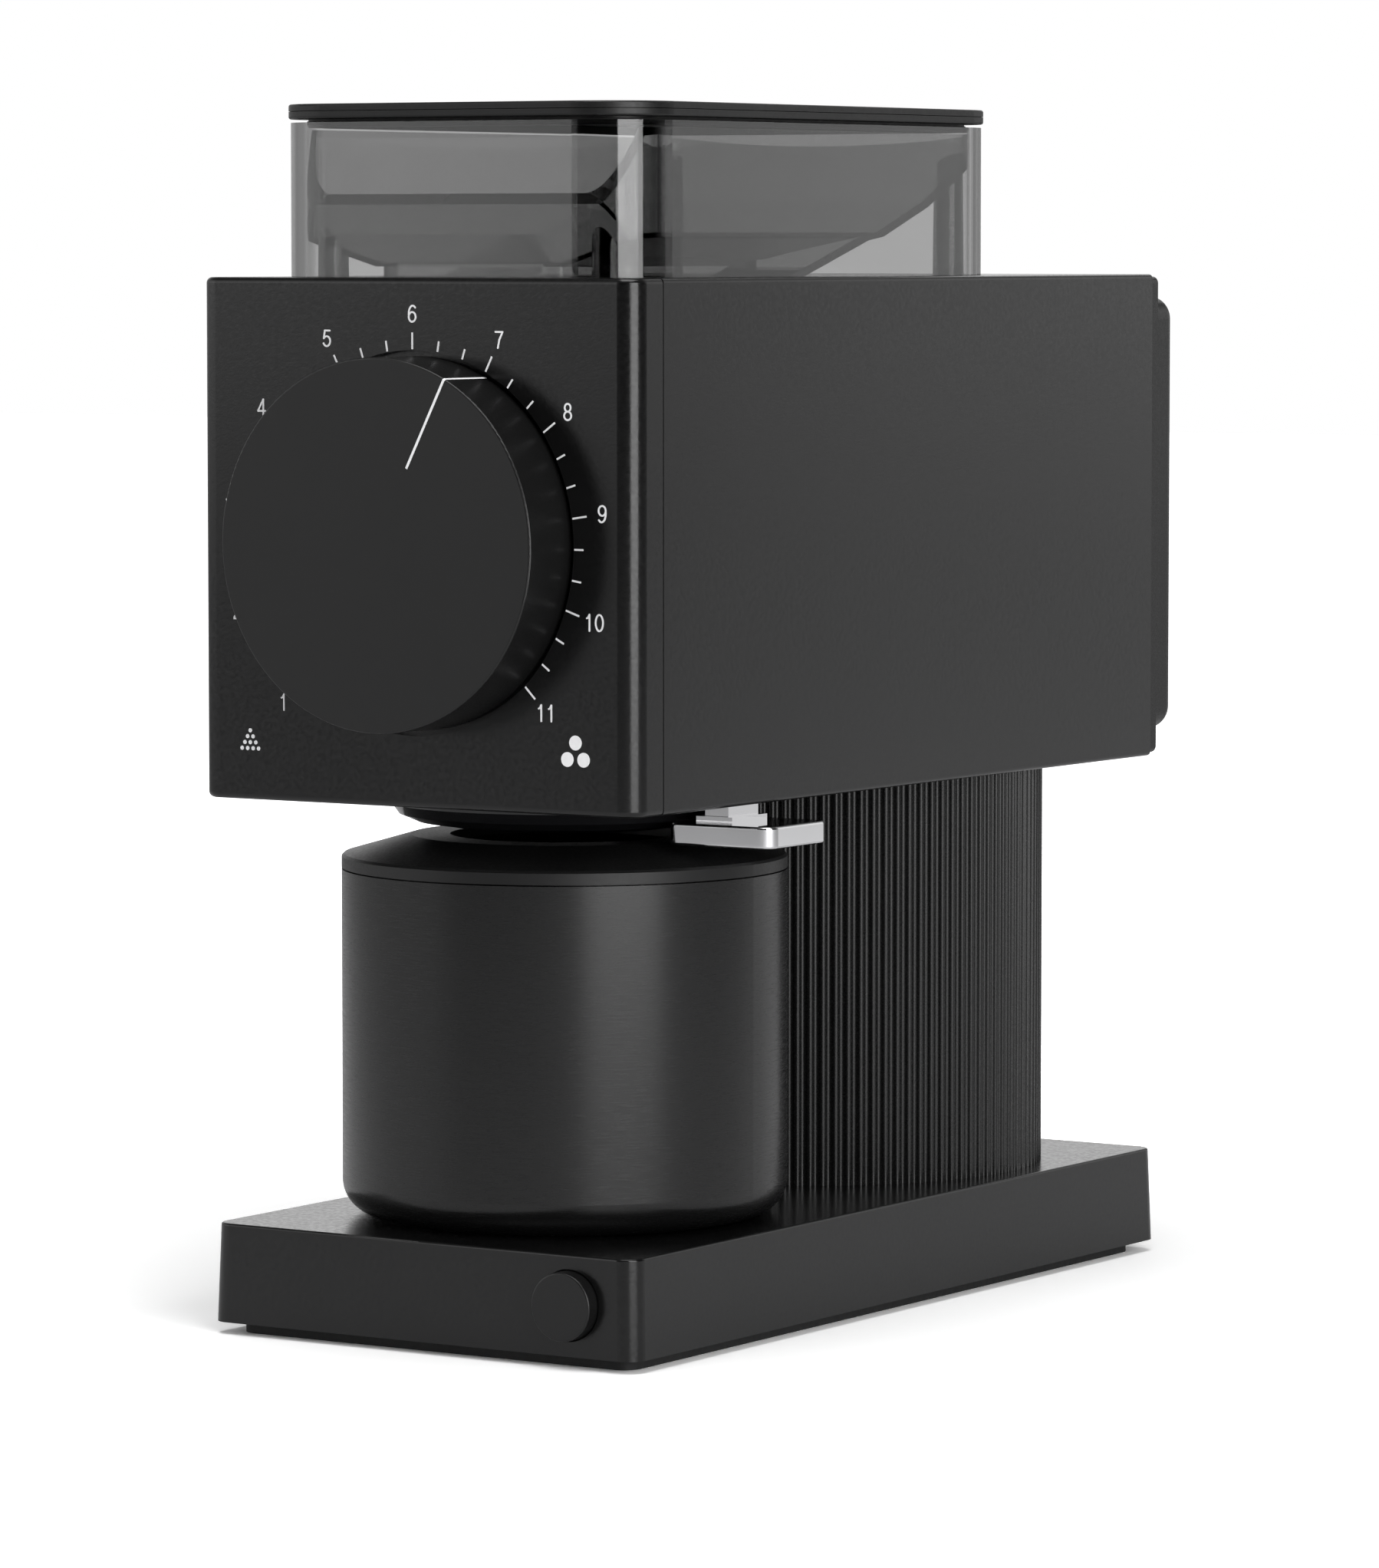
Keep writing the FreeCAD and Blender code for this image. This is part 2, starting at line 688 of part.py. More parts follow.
def column_core():
    h = CORE_HALF
    outer = rounded_prism(-h, h, COL_Y - h, COL_Y + h, CORE_CORNER_R, BASE_TOP_Z, HEAD_Z0)
    w = h - CORE_WALL
    inner = rounded_prism(-w, w, COL_Y - w, COL_Y + w, CORE_INNER_R, BASE_TOP_Z - EPS, HEAD_Z0 + EPS)
    tube = outer.cut(inner)
    bosses = [cyl_z(x, y + COL_Y, CORE_BOSS_R, BASE_TOP_Z, HEAD_Z0)
              for x, y in corners(CORE_BOSS_OFF, CORE_BOSS_OFF)]
    for y in (-BOARD_W / 2 + STANDOFF_IN, BOARD_W / 2 - STANDOFF_IN):
        for z in (BOARD_Z0 + STANDOFF_IN, BOARD_Z1 - STANDOFF_IN):
            bosses.append(cyl_x(COL_Y + y, z, STANDOFF_R, -w - CORE_WALL / 2, BOARD_X - BOARD_T))
    holes = [cyl_z(x, y + COL_Y, CORE_SCREW_R, BASE_TOP_Z - EPS, HEAD_Z0 + EPS)
             for x, y in corners(CORE_BOSS_OFF, CORE_BOSS_OFF)]
    return fuse([tube] + bosses).cut(holes[0].multiFuse(holes[1:]))


def core_screws():
    """Four screws up through the base and four down through the head floor."""
    screws = []
    for x, y in corners(CORE_BOSS_OFF, CORE_BOSS_OFF):
        low = screw_up(x, y + COL_Y, BASE_ROOF_Z - CORE_SCREW_HEAD_T, CORE_SCREW_HEAD_R,
                       CORE_SCREW_HEAD_T, CORE_SCREW_R, CORE_SCREW_L)
        high = low.mirror(V(0, 0, BASE_ROOF_Z), Z_DIR)
        high.translate(V(0, 0, HEAD_FLOOR_Z - BASE_ROOF_Z))
        screws += [low, high]
    return Part.makeCompound(screws)


def control_board():
    half = BOARD_W / 2
    return box(BOARD_X - BOARD_T, BOARD_X, COL_Y - half, COL_Y + half, BOARD_Z0, BOARD_Z1)


def filter_capacitor():
    can = cyl_x(COL_Y, CAP_Z, CAP_R, BOARD_X, BOARD_X + CAP_L)
    return fillet_where(can, CAP_EDGE_R, lambda e: in_plane(e, 0, BOARD_X + CAP_L))


# ---- head shell ----------------------------------------------------------
def bezel_block():
    half = BODY_W / 2
    block = box(-half, half, HEAD_Y0, BEZEL_BACK_Y, HEAD_Z0, HEAD_TOP_Z)
    block = fillet_where(block, BEZEL_CORNER_R,
                         lambda e: edge_along(e, Z_DIR) and in_plane(e, 1, HEAD_Y0))
    return fillet_where(block, HEAD_EDGE_R,
                        lambda e: (in_plane(e, 2, HEAD_Z0) or in_plane(e, 2, HEAD_TOP_Z))
                        and not in_plane(e, 1, BEZEL_BACK_Y))


def front_bezel():
    """Square front frame with a round recess for the dial and a lip that enters the housing."""
    w = BODY_W / 2 - HEAD_WALL
    lip_y = BEZEL_BACK_Y + BEZEL_LIP
    lip = box(-w + PLATE_CLEAR, w - PLATE_CLEAR, BEZEL_BACK_Y - HEAD_WALL, lip_y,
              HEAD_FLOOR_Z + PLATE_CLEAR, HEAD_CEIL_Z - PLATE_CLEAR)
    inner = w - BEZEL_LIP / 2
    hollow = box(-inner, inner, BEZEL_INNER_Y, lip_y + EPS,
                 HEAD_FLOOR_Z + BEZEL_LIP / 2, HEAD_CEIL_Z - BEZEL_LIP / 2)
    recess = cyl_y(0, AXIS_Z, RECESS_R, HEAD_Y0 - EPS, HEAD_Y0 + RECESS_D)
    hole = cyl_y(0, AXIS_Z, DIAL_HOLE_R, HEAD_Y0 - EPS, BEZEL_INNER_Y + EPS)
    return fuse([bezel_block(), lip]).cut(hollow).cut(recess).cut(hole)


def head_housing():
    half = BODY_W / 2
    y0 = BEZEL_BACK_Y + BEZEL_SEAM
    block = box(-half, half, y0, HEAD_Y1, HEAD_Z0, HEAD_TOP_Z)
    block = fillet_where(block, HEAD_LONG_EDGE_R, lambda e: edge_along(e, Y_DIR))
    w = half - HEAD_WALL
    cuts = [box(-w, w, y0 - EPS, HEAD_Y1 + EPS, HEAD_FLOOR_Z, HEAD_CEIL_Z)]
    reach = OUT_HALF_X + FUNNEL_T
    cuts.append(box(-reach, reach, OUT_Y0 - FUNNEL_T, OUT_Y1 + FUNNEL_T,
                    HEAD_CEIL_Z - EPS, HEAD_TOP_Z + EPS))
    cuts.append(cyl_z(0, CUP_Y, CHUTE_NECK_R, HEAD_Z0 - EPS, HEAD_FLOOR_Z + EPS))
    cuts.append(box(RISER_X0 - 2 * SLOT_CLEAR, RISER_X1 + SLOT_CLEAR, RISER_Y0 - SLOT_CLEAR,
                    RISER_Y1 + SLOT_CLEAR, HEAD_Z0 - EPS, HEAD_FLOOR_Z + EPS))
    for x, y in corners(CORE_BOSS_OFF, CORE_BOSS_OFF):
        cuts.append(cyl_z(x, y + COL_Y, CORE_SCREW_R, HEAD_Z0 - EPS, HEAD_FLOOR_Z + EPS))
    cuts.append(cyl_z(0, COL_Y, WIRE_HOLE_R, HEAD_Z0 - EPS, HEAD_FLOOR_Z + EPS))
    return block.cut(cuts[0].multiFuse(cuts[1:]))


def rear_plate():
    half = BODY_W / 2 - REAR_PLATE_INSET
    z0 = HEAD_Z0 + REAR_PLATE_INSET
    z1 = HEAD_TOP_Z - REAR_PLATE_INSET
    plate = box(-half, half, PLATE_Y, COVER_Y, z0, z1)
    plate = fillet_where(plate, REAR_PLATE_R, lambda e: edge_along(e, Y_DIR))
    w = BODY_W / 2 - HEAD_WALL - PLATE_CLEAR
    spigot = box(-w, w, HEAD_Y1 - REAR_SPIGOT, PLATE_Y,
                 HEAD_FLOOR_Z + PLATE_CLEAR, HEAD_CEIL_Z - PLATE_CLEAR)
    v = w - HEAD_WALL
    hollow = box(-v, v, HEAD_Y1 - REAR_SPIGOT - EPS, PLATE_Y,
                 HEAD_FLOOR_Z + PLATE_CLEAR + HEAD_WALL, HEAD_CEIL_Z - PLATE_CLEAR - HEAD_WALL)
    air = cyl_y(0, AXIS_Z, FAN_R, PLATE_Y - EPS, COVER_Y + EPS)
    body = fuse([plate, spigot.cut(hollow)]).cut(air)
    holes = [cyl_y(x, AXIS_Z + z, REAR_SCREW_R, PLATE_Y - EPS, COVER_Y + EPS)
             for x, z in corners(REAR_SCREW_OFF, REAR_SCREW_OFF)]
    return body.cut(holes[0].multiFuse(holes[1:]))


def cover_vents(y1):
    """Row of long round-ended slots through the cover's back wall."""
    slots = []
    for i in range(VENT_ROWS):
        z = AXIS_Z + (i - (VENT_ROWS - 1) / 2) * VENT_PITCH
        slot = box(-VENT_W / 2, VENT_W / 2, y1 - COVER_WALL - EPS, y1 + EPS, z - VENT_H / 2, z + VENT_H / 2)
        slots.append(fillet_where(slot, VENT_R, lambda e: edge_along(e, Y_DIR)))
    return slots


def rear_cover():
    w = COVER_W / 2
    h = COVER_H / 2
    y1 = COVER_Y + COVER_D
    block = box(-w, w, COVER_Y, y1, AXIS_Z - h, AXIS_Z + h)
    block = fillet_where(block, COVER_CORNER_R, lambda e: edge_along(e, Y_DIR))
    block = fillet_where(block, COVER_R, lambda e: in_plane(e, 1, y1))
    t = COVER_WALL
    hollow = box(-w + t, w - t, COVER_Y - EPS, y1 - t, AXIS_Z - h + t, AXIS_Z + h - t)
    hollow = fillet_where(hollow, COVER_CORNER_R - t, lambda e: edge_along(e, Y_DIR))
    places = corners(REAR_SCREW_OFF, REAR_SCREW_OFF)
    bosses = [cyl_y(x, AXIS_Z + z, BASE_BOSS_R, COVER_Y, y1 - t).common(block) for x, z in places]
    shell = fuse([block.cut(hollow)] + bosses)
    drills = [cyl_y(x, AXIS_Z + z, REAR_SCREW_R, COVER_Y - EPS, COVER_Y + REAR_SCREW_L) for x, z in places]
    return shell.cut(drills[0].multiFuse(drills[1:] + cover_vents(y1)))


def rear_screws():
    """Screws through the rear plate into the cover's bosses, heads inside."""
    screws = []
    for x, z in corners(REAR_SCREW_OFF, REAR_SCREW_OFF):
        head = cyl_y(x, AXIS_Z + z, BASE_SCREW_HEAD_R, PLATE_Y - REAR_SCREW_HEAD_T, PLATE_Y)
        body = cyl_y(x, AXIS_Z + z, REAR_SCREW_R, PLATE_Y, COVER_Y + REAR_SCREW_L - EPS)
        screws.append(fuse([head, body]))
    return Part.makeCompound(screws)


# ---- dial and scale ------------------------------------------------------
def dial_drum():
    drum = cyl_y(0, AXIS_Z, DIAL_R, DIAL_FRONT_Y, DIAL_REAR_Y)
    return fillet_where(drum, DIAL_EDGE_R, lambda e: in_plane(e, 1, DIAL_FRONT_Y))


def adjustment_dial():
    """Drum with a flat face, hollow behind, with a boss for the hub."""
    y0 = DIAL_FRONT_Y + DIAL_WALL
    y1 = DIAL_REAR_Y + EPS
    hollow = ring_y(DIAL_BOSS_R, DIAL_R - DIAL_WALL, y0, y1)
    socket = cyl_y(0, AXIS_Z, HUB_R, y0, y1)
    return dial_drum().cut(hollow).cut(socket).cut(pointer_bar())


def rest_angle():
    return (REST_SETTING - TOP_SETTING) * SETTING_DEG


def pointer_bar():
    """Inlaid line over the face and down the side of the dial."""
    half = POINTER_W / 2
    block = box(-half, half, DIAL_FRONT_Y - EPS, DIAL_REAR_Y + EPS,
                AXIS_Z + POINTER_R0, AXIS_Z + DIAL_R + EPS)
    inside = cyl_y(0, AXIS_Z, DIAL_R - POINTER_T, DIAL_FRONT_Y + POINTER_T, DIAL_REAR_Y + 2 * EPS)
    bar = block.cut(inside)
    bar.rotate(AXIS, Y_DIR, rest_angle())
    return bar


def dial_pointer():
    return pointer_bar().common(dial_drum())


def dial_hub():
    hub = cyl_y(0, AXIS_Z, HUB_R, DIAL_FRONT_Y + DIAL_WALL, ADJ_Y0)
    hole = cyl_y(0, AXIS_Z + HUB_SCREW_RING, HUB_SCREW_R, ADJ_Y0 - HUB_SCREW_L, ADJ_Y0 + EPS)
    holes = around_y(hole, HUB_SCREWS)
    return hub.cut(holes[0].multiFuse(holes[1:]))


def hub_screws():
    y0 = ADJ_Y0 + ADJ_PLATE_T
    head = cyl_y(0, AXIS_Z + HUB_SCREW_RING, BASE_SCREW_HEAD_R, y0, y0 + PLATE_T)
    body = cyl_y(0, AXIS_Z + HUB_SCREW_RING, HUB_SCREW_R, y0 - HUB_SCREW_L, y0)
    return Part.makeCompound(around_y(fuse([head, body]), HUB_SCREWS))


def stroke(points, width):
    """Flat ribbon with round ends that follows (x, z) points on the bezel face."""
    y0 = HEAD_Y0 - INK_T
    parts = []
    for x, z in points:
        parts.append(cyl_y(x, z, width / 2, y0, HEAD_Y0))
    for (xa, za), (xb, zb) in zip(points, points[1:]):
        length = math.hypot(xb - xa, zb - za)
        if length < TINY:
            continue
        bar = box(0, length, y0, HEAD_Y0, -width / 2, width / 2)
        bar.rotate(V(0, 0, 0), Y_DIR, -math.degrees(math.atan2(zb - za, xb - xa)))
        bar.translate(V(xa, 0, za))
        parts.append(bar)
    return parts


def arc_points(cx, cz, rx, rz, deg0, deg1, count=14):
    out = []
    for i in range(count + 1):
        a = math.radians(deg0 + (deg1 - deg0) * i / count)
        out.append((cx + rx * math.cos(a), cz + rz * math.sin(a)))
    return out


def digit_strokes(digit):
    """Stroke lines of a numeral in a box 0.56 wide and 1 high."""
    if digit == "0":
        return [arc_points(0.28, 0.5, 0.26, 0.48, 0, 360, 24)]
    if digit == "1":
        return [[(0.12, 0.76), (0.2, 0.79), (0.3, 0.98), (0.3, 0.02)]]
    if digit == "2":
        top = arc_points(0.28, 0.71, 0.25, 0.27, 170, -35)
        return [top + [(0.05, 0.14), (0.02, 0.02), (0.54, 0.02)]]
    if digit == "3":
        return [arc_points(0.27, 0.74, 0.22, 0.24, 160, -90) + arc_points(0.27, 0.26, 0.25, 0.24, 90, -160)]
    if digit == "4":
        return [[(0.42, 0.02), (0.42, 0.98), (0.02, 0.28), (0.56, 0.28)]]
    if digit == "5":
        return [[(0.5, 0.97), (0.13, 0.97), (0.06, 0.5)] + arc_points(0.27, 0.33, 0.26, 0.3, 130, -155)]
    if digit == "6":
        return [arc_points(0.28, 0.31, 0.25, 0.29, 0, 360, 22),
                arc_points(0.32, 0.48, 0.29, 0.5, 50, 190)]
    if digit == "7":
        return [[(0.03, 0.97), (0.54, 0.97), (0.3, 0.5), (0.2, 0.02)]]
    if digit == "8":
        return [arc_points(0.28, 0.75, 0.21, 0.23, 0, 360, 20),
                arc_points(0.28, 0.27, 0.25, 0.25, 0, 360, 22)]
    return [arc_points(0.28, 0.69, 0.25, 0.29, 0, 360, 22), arc_points(0.24, 0.52, 0.29, 0.5, -130, 10)]


def numeral(text, x, z):
    """Upright number centred on (x, z)."""
    advance = DIGIT_STEP * NUMBER_H
    width = advance * (len(text) - 1) + DIGIT_W * NUMBER_H
    solids = []
    for i, digit in enumerate(text):
        x0 = x - width / 2 + i * advance
        z0 = z - NUMBER_H / 2
        parts = []
        for line in digit_strokes(digit):
            points = [(x0 + u * NUMBER_H, z0 + v * NUMBER_H) for u, v in line]
            parts += stroke(points, STROKE)
        solids.append(fuse(parts))
    return solids


def scale_ticks():
    marks = []
    steps = (SETTINGS - 1) * STEPS_PER_SETTING
    for k in range(steps + 1):
        angle = (1 + k / STEPS_PER_SETTING - TOP_SETTING) * SETTING_DEG
        length = TICK_MAJOR if k % STEPS_PER_SETTING == 0 else TICK_MINOR
        z0 = AXIS_Z + TICK_R0
        tick = box(-TICK_W / 2, TICK_W / 2, HEAD_Y0 - INK_T, HEAD_Y0, z0, z0 + length)
        tick.rotate(AXIS, Y_DIR, angle)
        marks.append(tick)
    return marks


def grind_icons():
    """Ten small dots for fine on the left, three big ones for coarse on the right."""
    dots = []
    y0 = HEAD_Y0 - INK_T
    for row in range(FINE_ROWS):
        for i in range(row + 1):
            x = -ICON_X + (i - row / 2) * FINE_PITCH
            z = AXIS_Z + ICON_Z + ((FINE_ROWS - 1) / 2 - row) * FINE_ROW
            dots.append(cyl_y(x, z, FINE_DOT_R, y0, HEAD_Y0))
    for turn in (90, 210, 330):
        x = COARSE_X + COARSE_RING * math.cos(math.radians(turn))
        z = AXIS_Z + ICON_Z + COARSE_RING * math.sin(math.radians(turn))
        dots.append(cyl_y(x, z, COARSE_DOT_R, y0, HEAD_Y0))
    return dots


def scale_marks():
    marks = scale_ticks() + grind_icons()
    for n in range(1, SETTINGS + 1):
        a = math.radians((n - TOP_SETTING) * SETTING_DEG)
        marks += numeral(str(n), NUMBER_R * math.sin(a), AXIS_Z + NUMBER_R * math.cos(a))
    return Part.makeCompound(marks)


# ---- grinding set --------------------------------------------------------
def detent_ring():
    y1 = BEZEL_INNER_Y + DETENT_T
    ring = ring_y(DETENT_R0, DETENT_R1, BEZEL_INNER_Y, y1)
    notch = Part.makeSphere(BALL_R, V(0, y1 + BALL_R / 2, DETENT_MID_Z))
    step = SETTING_DEG / STEPS_PER_SETTING
    steps = (SETTINGS - 1) * STEPS_PER_SETTING
    notches = []
    for k in range(steps + 1):
        copy = notch.copy()
        copy.rotate(AXIS, Y_DIR, k * step - (TOP_SETTING - 1) * SETTING_DEG)
        notches.append(copy)
    return ring.cut(Part.makeCompound(notches))


def detent_place(shape):
    shape.rotate(AXIS, Y_DIR, rest_angle())
    return shape


def detent_ball():
    y = BEZEL_INNER_Y + DETENT_T + BALL_R + MOVE_GAP
    return detent_place(Part.makeSphere(BALL_R, V(0, y, DETENT_MID_Z)))


def adjuster_ring():
    """Threaded ring that the dial turns to move the outer burr in and out."""
    plate = cyl_y(0, AXIS_Z, ADJ_R, ADJ_Y0, ADJ_Y0 + ADJ_PLATE_T)
    wall = ring_y(ADJ_THREAD_R, ADJ_R, ADJ_Y0 + ADJ_PLATE_T, ADJ_Y1)
    body = fuse([plate, wall])
    hole = cyl_y(0, AXIS_Z + HUB_SCREW_RING, HUB_SCREW_R, ADJ_Y0 - EPS, ADJ_Y0 + ADJ_PLATE_T + EPS)
    for cut in around_y(hole, HUB_SCREWS):
        body = body.cut(cut)
    pocket = cyl_y(0, DETENT_MID_Z, BALL_R + RUN_FIT, ADJ_Y0 - EPS, ADJ_Y0 + ADJ_PLATE_T - EPS / 2)
    return body.cut(detent_place(pocket))


def outer_burr_carrier():
    """Sliding cup that holds the still burr and takes beans in at the top."""
    body = ring_y(BURR_HOLE_R, CARRIER_R, CARRIER_Y0, OUTER_BURR_Y0)
    neck = ring_y(CARRIER_NECK_R0, ADJ_THREAD_R - MOVE_GAP, CARRIER_NECK_Y0, CARRIER_Y0)
    front = cyl_y(0, AXIS_Z, BURR_HOLE_R, CARRIER_Y0, CARRIER_Y0 + CARRIER_FACE_T)
    carrier = fuse([body, neck, front])
    window = box(-INLET_HALF_X, INLET_HALF_X, INLET_Y0, INLET_Y1, AXIS_Z, AXIS_Z + CARRIER_R + EPS)
    key = box(CARRIER_R - KEY_DEPTH - MOVE_GAP, CARRIER_R + EPS, CARRIER_Y0 - EPS, OUTER_BURR_Y0 + EPS,
              AXIS_Z - KEY_HALF - MOVE_GAP, AXIS_Z + KEY_HALF + MOVE_GAP)
    drill = cyl_y(0, AXIS_Z + BURR_SCREW_RING, BURR_SCREW_R, OUTER_BURR_Y0 - SCREW_DRILL, OUTER_BURR_Y0 + EPS)
    body = carrier.cut(window).cut(key)
    for cut in around_y(drill, BURR_SCREWS, BURR_SCREW_TURN):
        body = body.cut(cut)
    return body


def flat_burr(y_back, y_face):
    """Ring with slanting cutting grooves on its working face."""
    low = min(y_back, y_face)
    high = max(y_back, y_face)
    hole_r = BURR_HOLE_R + BURR_RIM
    ring = ring_y(hole_r, BURR_R, low, high)
    out = EPS if y_face > y_back else -EPS
    top = AXIS_Z + BURR_R
    groove = box(-BURR_GROOVE_HALF, BURR_GROOVE_HALF, y_face - BURR_GROOVE_DEPTH, y_face + BURR_GROOVE_DEPTH,
                 top - BURR_GROOVE_L, top + 2 * EPS)
    groove.rotate(V(0, y_face, top), Y_DIR, BURR_GROOVE_TILT)
    ring = ring.cut(Part.makeCompound(around_y(groove, BURR_TEETH)))
    y_low = y_face - out * BURR_BOWL_DEPTH
    bowl = turned([(0, y_face + out), (BURR_FLAT_R0, y_face + out), (BURR_FLAT_R0, y_face),
                   (hole_r, y_low), (0, y_low)], AXIS, Y_DIR)
    hole = cyl_y(0, AXIS_Z + BURR_SCREW_RING, BURR_SCREW_R, low - EPS, high + EPS)
    ring = ring.cut(bowl)
    for cut in around_y(hole, BURR_SCREWS, BURR_SCREW_TURN):
        ring = ring.cut(cut)
    return ring


def burr_screws(y_face, into):
    """Three screws from just under the burr's face into its carrier."""
    y_head = y_face + into * SCREW_SINK
    y_tip = y_head + into * BURR_SCREW_L
    body = cyl_y(0, AXIS_Z + BURR_SCREW_RING, BURR_SCREW_R, min(y_head, y_tip), max(y_head, y_tip))
    return Part.makeCompound(around_y(body, BURR_SCREWS, BURR_SCREW_TURN))


def inner_burr_carrier():
    y0 = INNER_BURR_Y1
    y1 = y0 + INNER_CARRIER_T
    plate = ring_y(SHAFT_R, BURR_R - 1, y0, y0 + INNER_CARRIER_T / 2)
    hub = ring_y(SHAFT_R, INNER_HUB_R, y0, y1 - MOVE_GAP)
    arm = box(-SWEEPER_HALF, SWEEPER_HALF, y0, y0 + INNER_CARRIER_T / 2,
              AXIS_Z + SWEEPER_R0, AXIS_Z + SWEEPER_R1)
    body = fuse([plate, hub] + around_y(arm, SWEEPERS))
    drill = cyl_y(0, AXIS_Z + BURR_SCREW_RING, BURR_SCREW_R, y0 - EPS, y0 + INNER_CARRIER_T / 2 + EPS)
    for cut in around_y(drill, BURR_SCREWS, BURR_SCREW_TURN):
        body = body.cut(cut)
    return body


def feed_auger():
    """Screw on the shaft that pushes beans through the still burr."""
    core = ring_y(SHAFT_R, AUGER_CORE_R, AUGER_Y0, INNER_BURR_Y1)
    helix = Part.makeHelix(AUGER_L / AUGER_TURNS, AUGER_L, AUGER_R)
    t = AUGER_BLADE_T / 2
    outline = Part.makePolygon([V(AUGER_ROOT_R, 0, -t), V(AUGER_R, 0, -t), V(AUGER_R, 0, t),
                                V(AUGER_ROOT_R, 0, t), V(AUGER_ROOT_R, 0, -t)])
    blade = Part.Wire(helix).makePipeShell([outline], True, True)
    blade.rotate(V(0, 0, 0), X_DIR, -90)
    blade.translate(V(0, AUGER_Y0 + t + EPS, AXIS_Z))
    return fuse([core, blade])


def grinding_chamber():
    wall = ring_y(CHAMBER_R0, CHAMBER_R1, CHAMBER_Y0, CHAMBER_Y1)
    back = ring_y(BEARING_R, CHAMBER_R1, CHAMBER_Y1 - CHAMBER_BACK_T, CHAMBER_Y1)
    key = box(CARRIER_R - KEY_DEPTH, CHAMBER_R0 + KEY_SINK, CARRIER_Y0, OUTER_BURR_Y0 - 2 * EPS,
              AXIS_Z - KEY_HALF, AXIS_Z + KEY_HALF)
    x = OUTLET_HALF_X
    y0 = CUP_Y - OUTLET_HALF_Y
    y1 = CUP_Y + OUTLET_HALF_Y
    w = SPOUT_WALL
    spout = box(-x - w, x + w, y0 - w, y1 + w, SPOUT_Z0, AXIS_Z - CHAMBER_R0)
    spout = spout.cut(cyl_y(0, AXIS_Z, CHAMBER_R0 + EPS, y0 - w - EPS, y1 + w + EPS))
    bore = box(-x, x, y0, y1, SPOUT_Z0 - EPS, AXIS_Z - CHAMBER_R0 + 2 * w)
    reach = INLET_HALF_X + INLET_EASE
    window = box(-reach, reach, INLET_Y0 - INLET_EASE, INLET_Y1 + INLET_EASE,
                 AXIS_Z + BURR_HOLE_R, AXIS_Z + CHAMBER_R1 + EPS)
    return fuse([wall, back, key, spout]).cut(bore).cut(window)


def bean_chute():
    """Sloping throat from the hopper's outlet down to the chamber's inlet."""
    return throat(FUNNEL_T).cut(throat(0))


def throat(grow):
    """Filled throat, widened all round by the wall's thickness."""
    wide = OUT_HALF_X + grow
    slim = INLET_HALF_X + INLET_EASE + grow
    y0 = INLET_Y0 - INLET_EASE - grow
    y1 = INLET_Y1 + INLET_EASE + grow
    top = rounded_wire(-wide, wide, OUT_Y0 - grow, OUT_Y1 + grow, THROAT_R + grow, HEAD_CEIL_Z)
    bottom = rounded_wire(-slim, slim, y0, y1, THROAT_R + grow, AXIS_Z + CHAMBER_R1)
    return Part.makeLoft([bottom, top], True, True)


# ---- motor ---------------------------------------------------------------
def motor_shaft():
    return cyl_y(0, AXIS_Z, SHAFT_R, SHAFT_Y0, SHAFT_Y1)


def front_bearing():
    return ring_y(SHAFT_R + RUN_FIT, BEARING_R, CHAMBER_Y1 - CHAMBER_BACK_T, CHAMBER_Y1 + MOUNT_T)


def rear_bearing():
    return ring_y(SHAFT_R + RUN_FIT, REAR_BEARING_R, CAN_Y1, CAN_Y1 + REAR_CAP_T)


def motor_mount_plate():
    plate = box(-MOUNT_HALF, MOUNT_HALF, CHAMBER_Y1, CHAMBER_Y1 + MOUNT_T, HEAD_FLOOR_Z, MOUNT_TOP_Z)
    return plate.cut(cyl_y(0, AXIS_Z, BEARING_R, CHAMBER_Y1 - EPS, CHAMBER_Y1 + MOUNT_T + EPS))


def motor_can():
    return ring_y(CAN_R - CAN_WALL, CAN_R, CHAMBER_Y1 + MOUNT_T, CAN_Y1)


def motor_magnets():
    """Two curved magnets inside the can, left and right of the rotor."""
    y0 = ROTOR_Y0 - MAGNET_OVER
    y1 = ROTOR_Y1 + MAGNET_OVER
    angle = math.radians(MAGNET_DEG / 2)
    x = 2 * CAN_R * math.cos(angle)
    dz = 2 * CAN_R * math.sin(angle)
    tip = V(0, y0, AXIS_Z)
    triangle = Part.makePolygon([tip, V(x, y0, AXIS_Z + dz), V(x, y0, AXIS_Z - dz), tip])
    wedge = Part.Face(triangle).extrude(V(0, y1 - y0, 0))
    magnet = ring_y(MAGNET_R0, CAN_R - CAN_WALL, y0, y1).common(wedge)
    return Part.makeCompound([magnet, magnet.mirror(V(0, 0, 0), X_DIR)])


def motor_rotor():
    stack = ring_y(SHAFT_R, ROTOR_R, ROTOR_Y0, ROTOR_Y1)
    y0 = ROTOR_Y0 - EPS
    y1 = ROTOR_Y1 + EPS
    mouth = box(-SLOT_MOUTH / 2, SLOT_MOUTH / 2, y0, y1, AXIS_Z + SLOT_RING, AXIS_Z + ROTOR_R + EPS)
    slot = fuse([mouth, cyl_y(0, AXIS_Z + SLOT_RING, SLOT_R, y0, y1)])
    return stack.cut(Part.makeCompound(around_y(slot, ROTOR_SLOTS)))


def rotor_windings():
    slot = cyl_y(0, AXIS_Z + SLOT_RING, SLOT_R - MOVE_GAP, ROTOR_Y0 - EPS, ROTOR_Y1 + EPS)
    ends = [ring_y(WINDING_R0, WINDING_R1, ROTOR_Y0 - WINDING_L, ROTOR_Y0),
            ring_y(WINDING_R0, WINDING_R1, ROTOR_Y1, ROTOR_Y1 + WINDING_L)]
    return fuse(ends + around_y(slot, ROTOR_SLOTS))


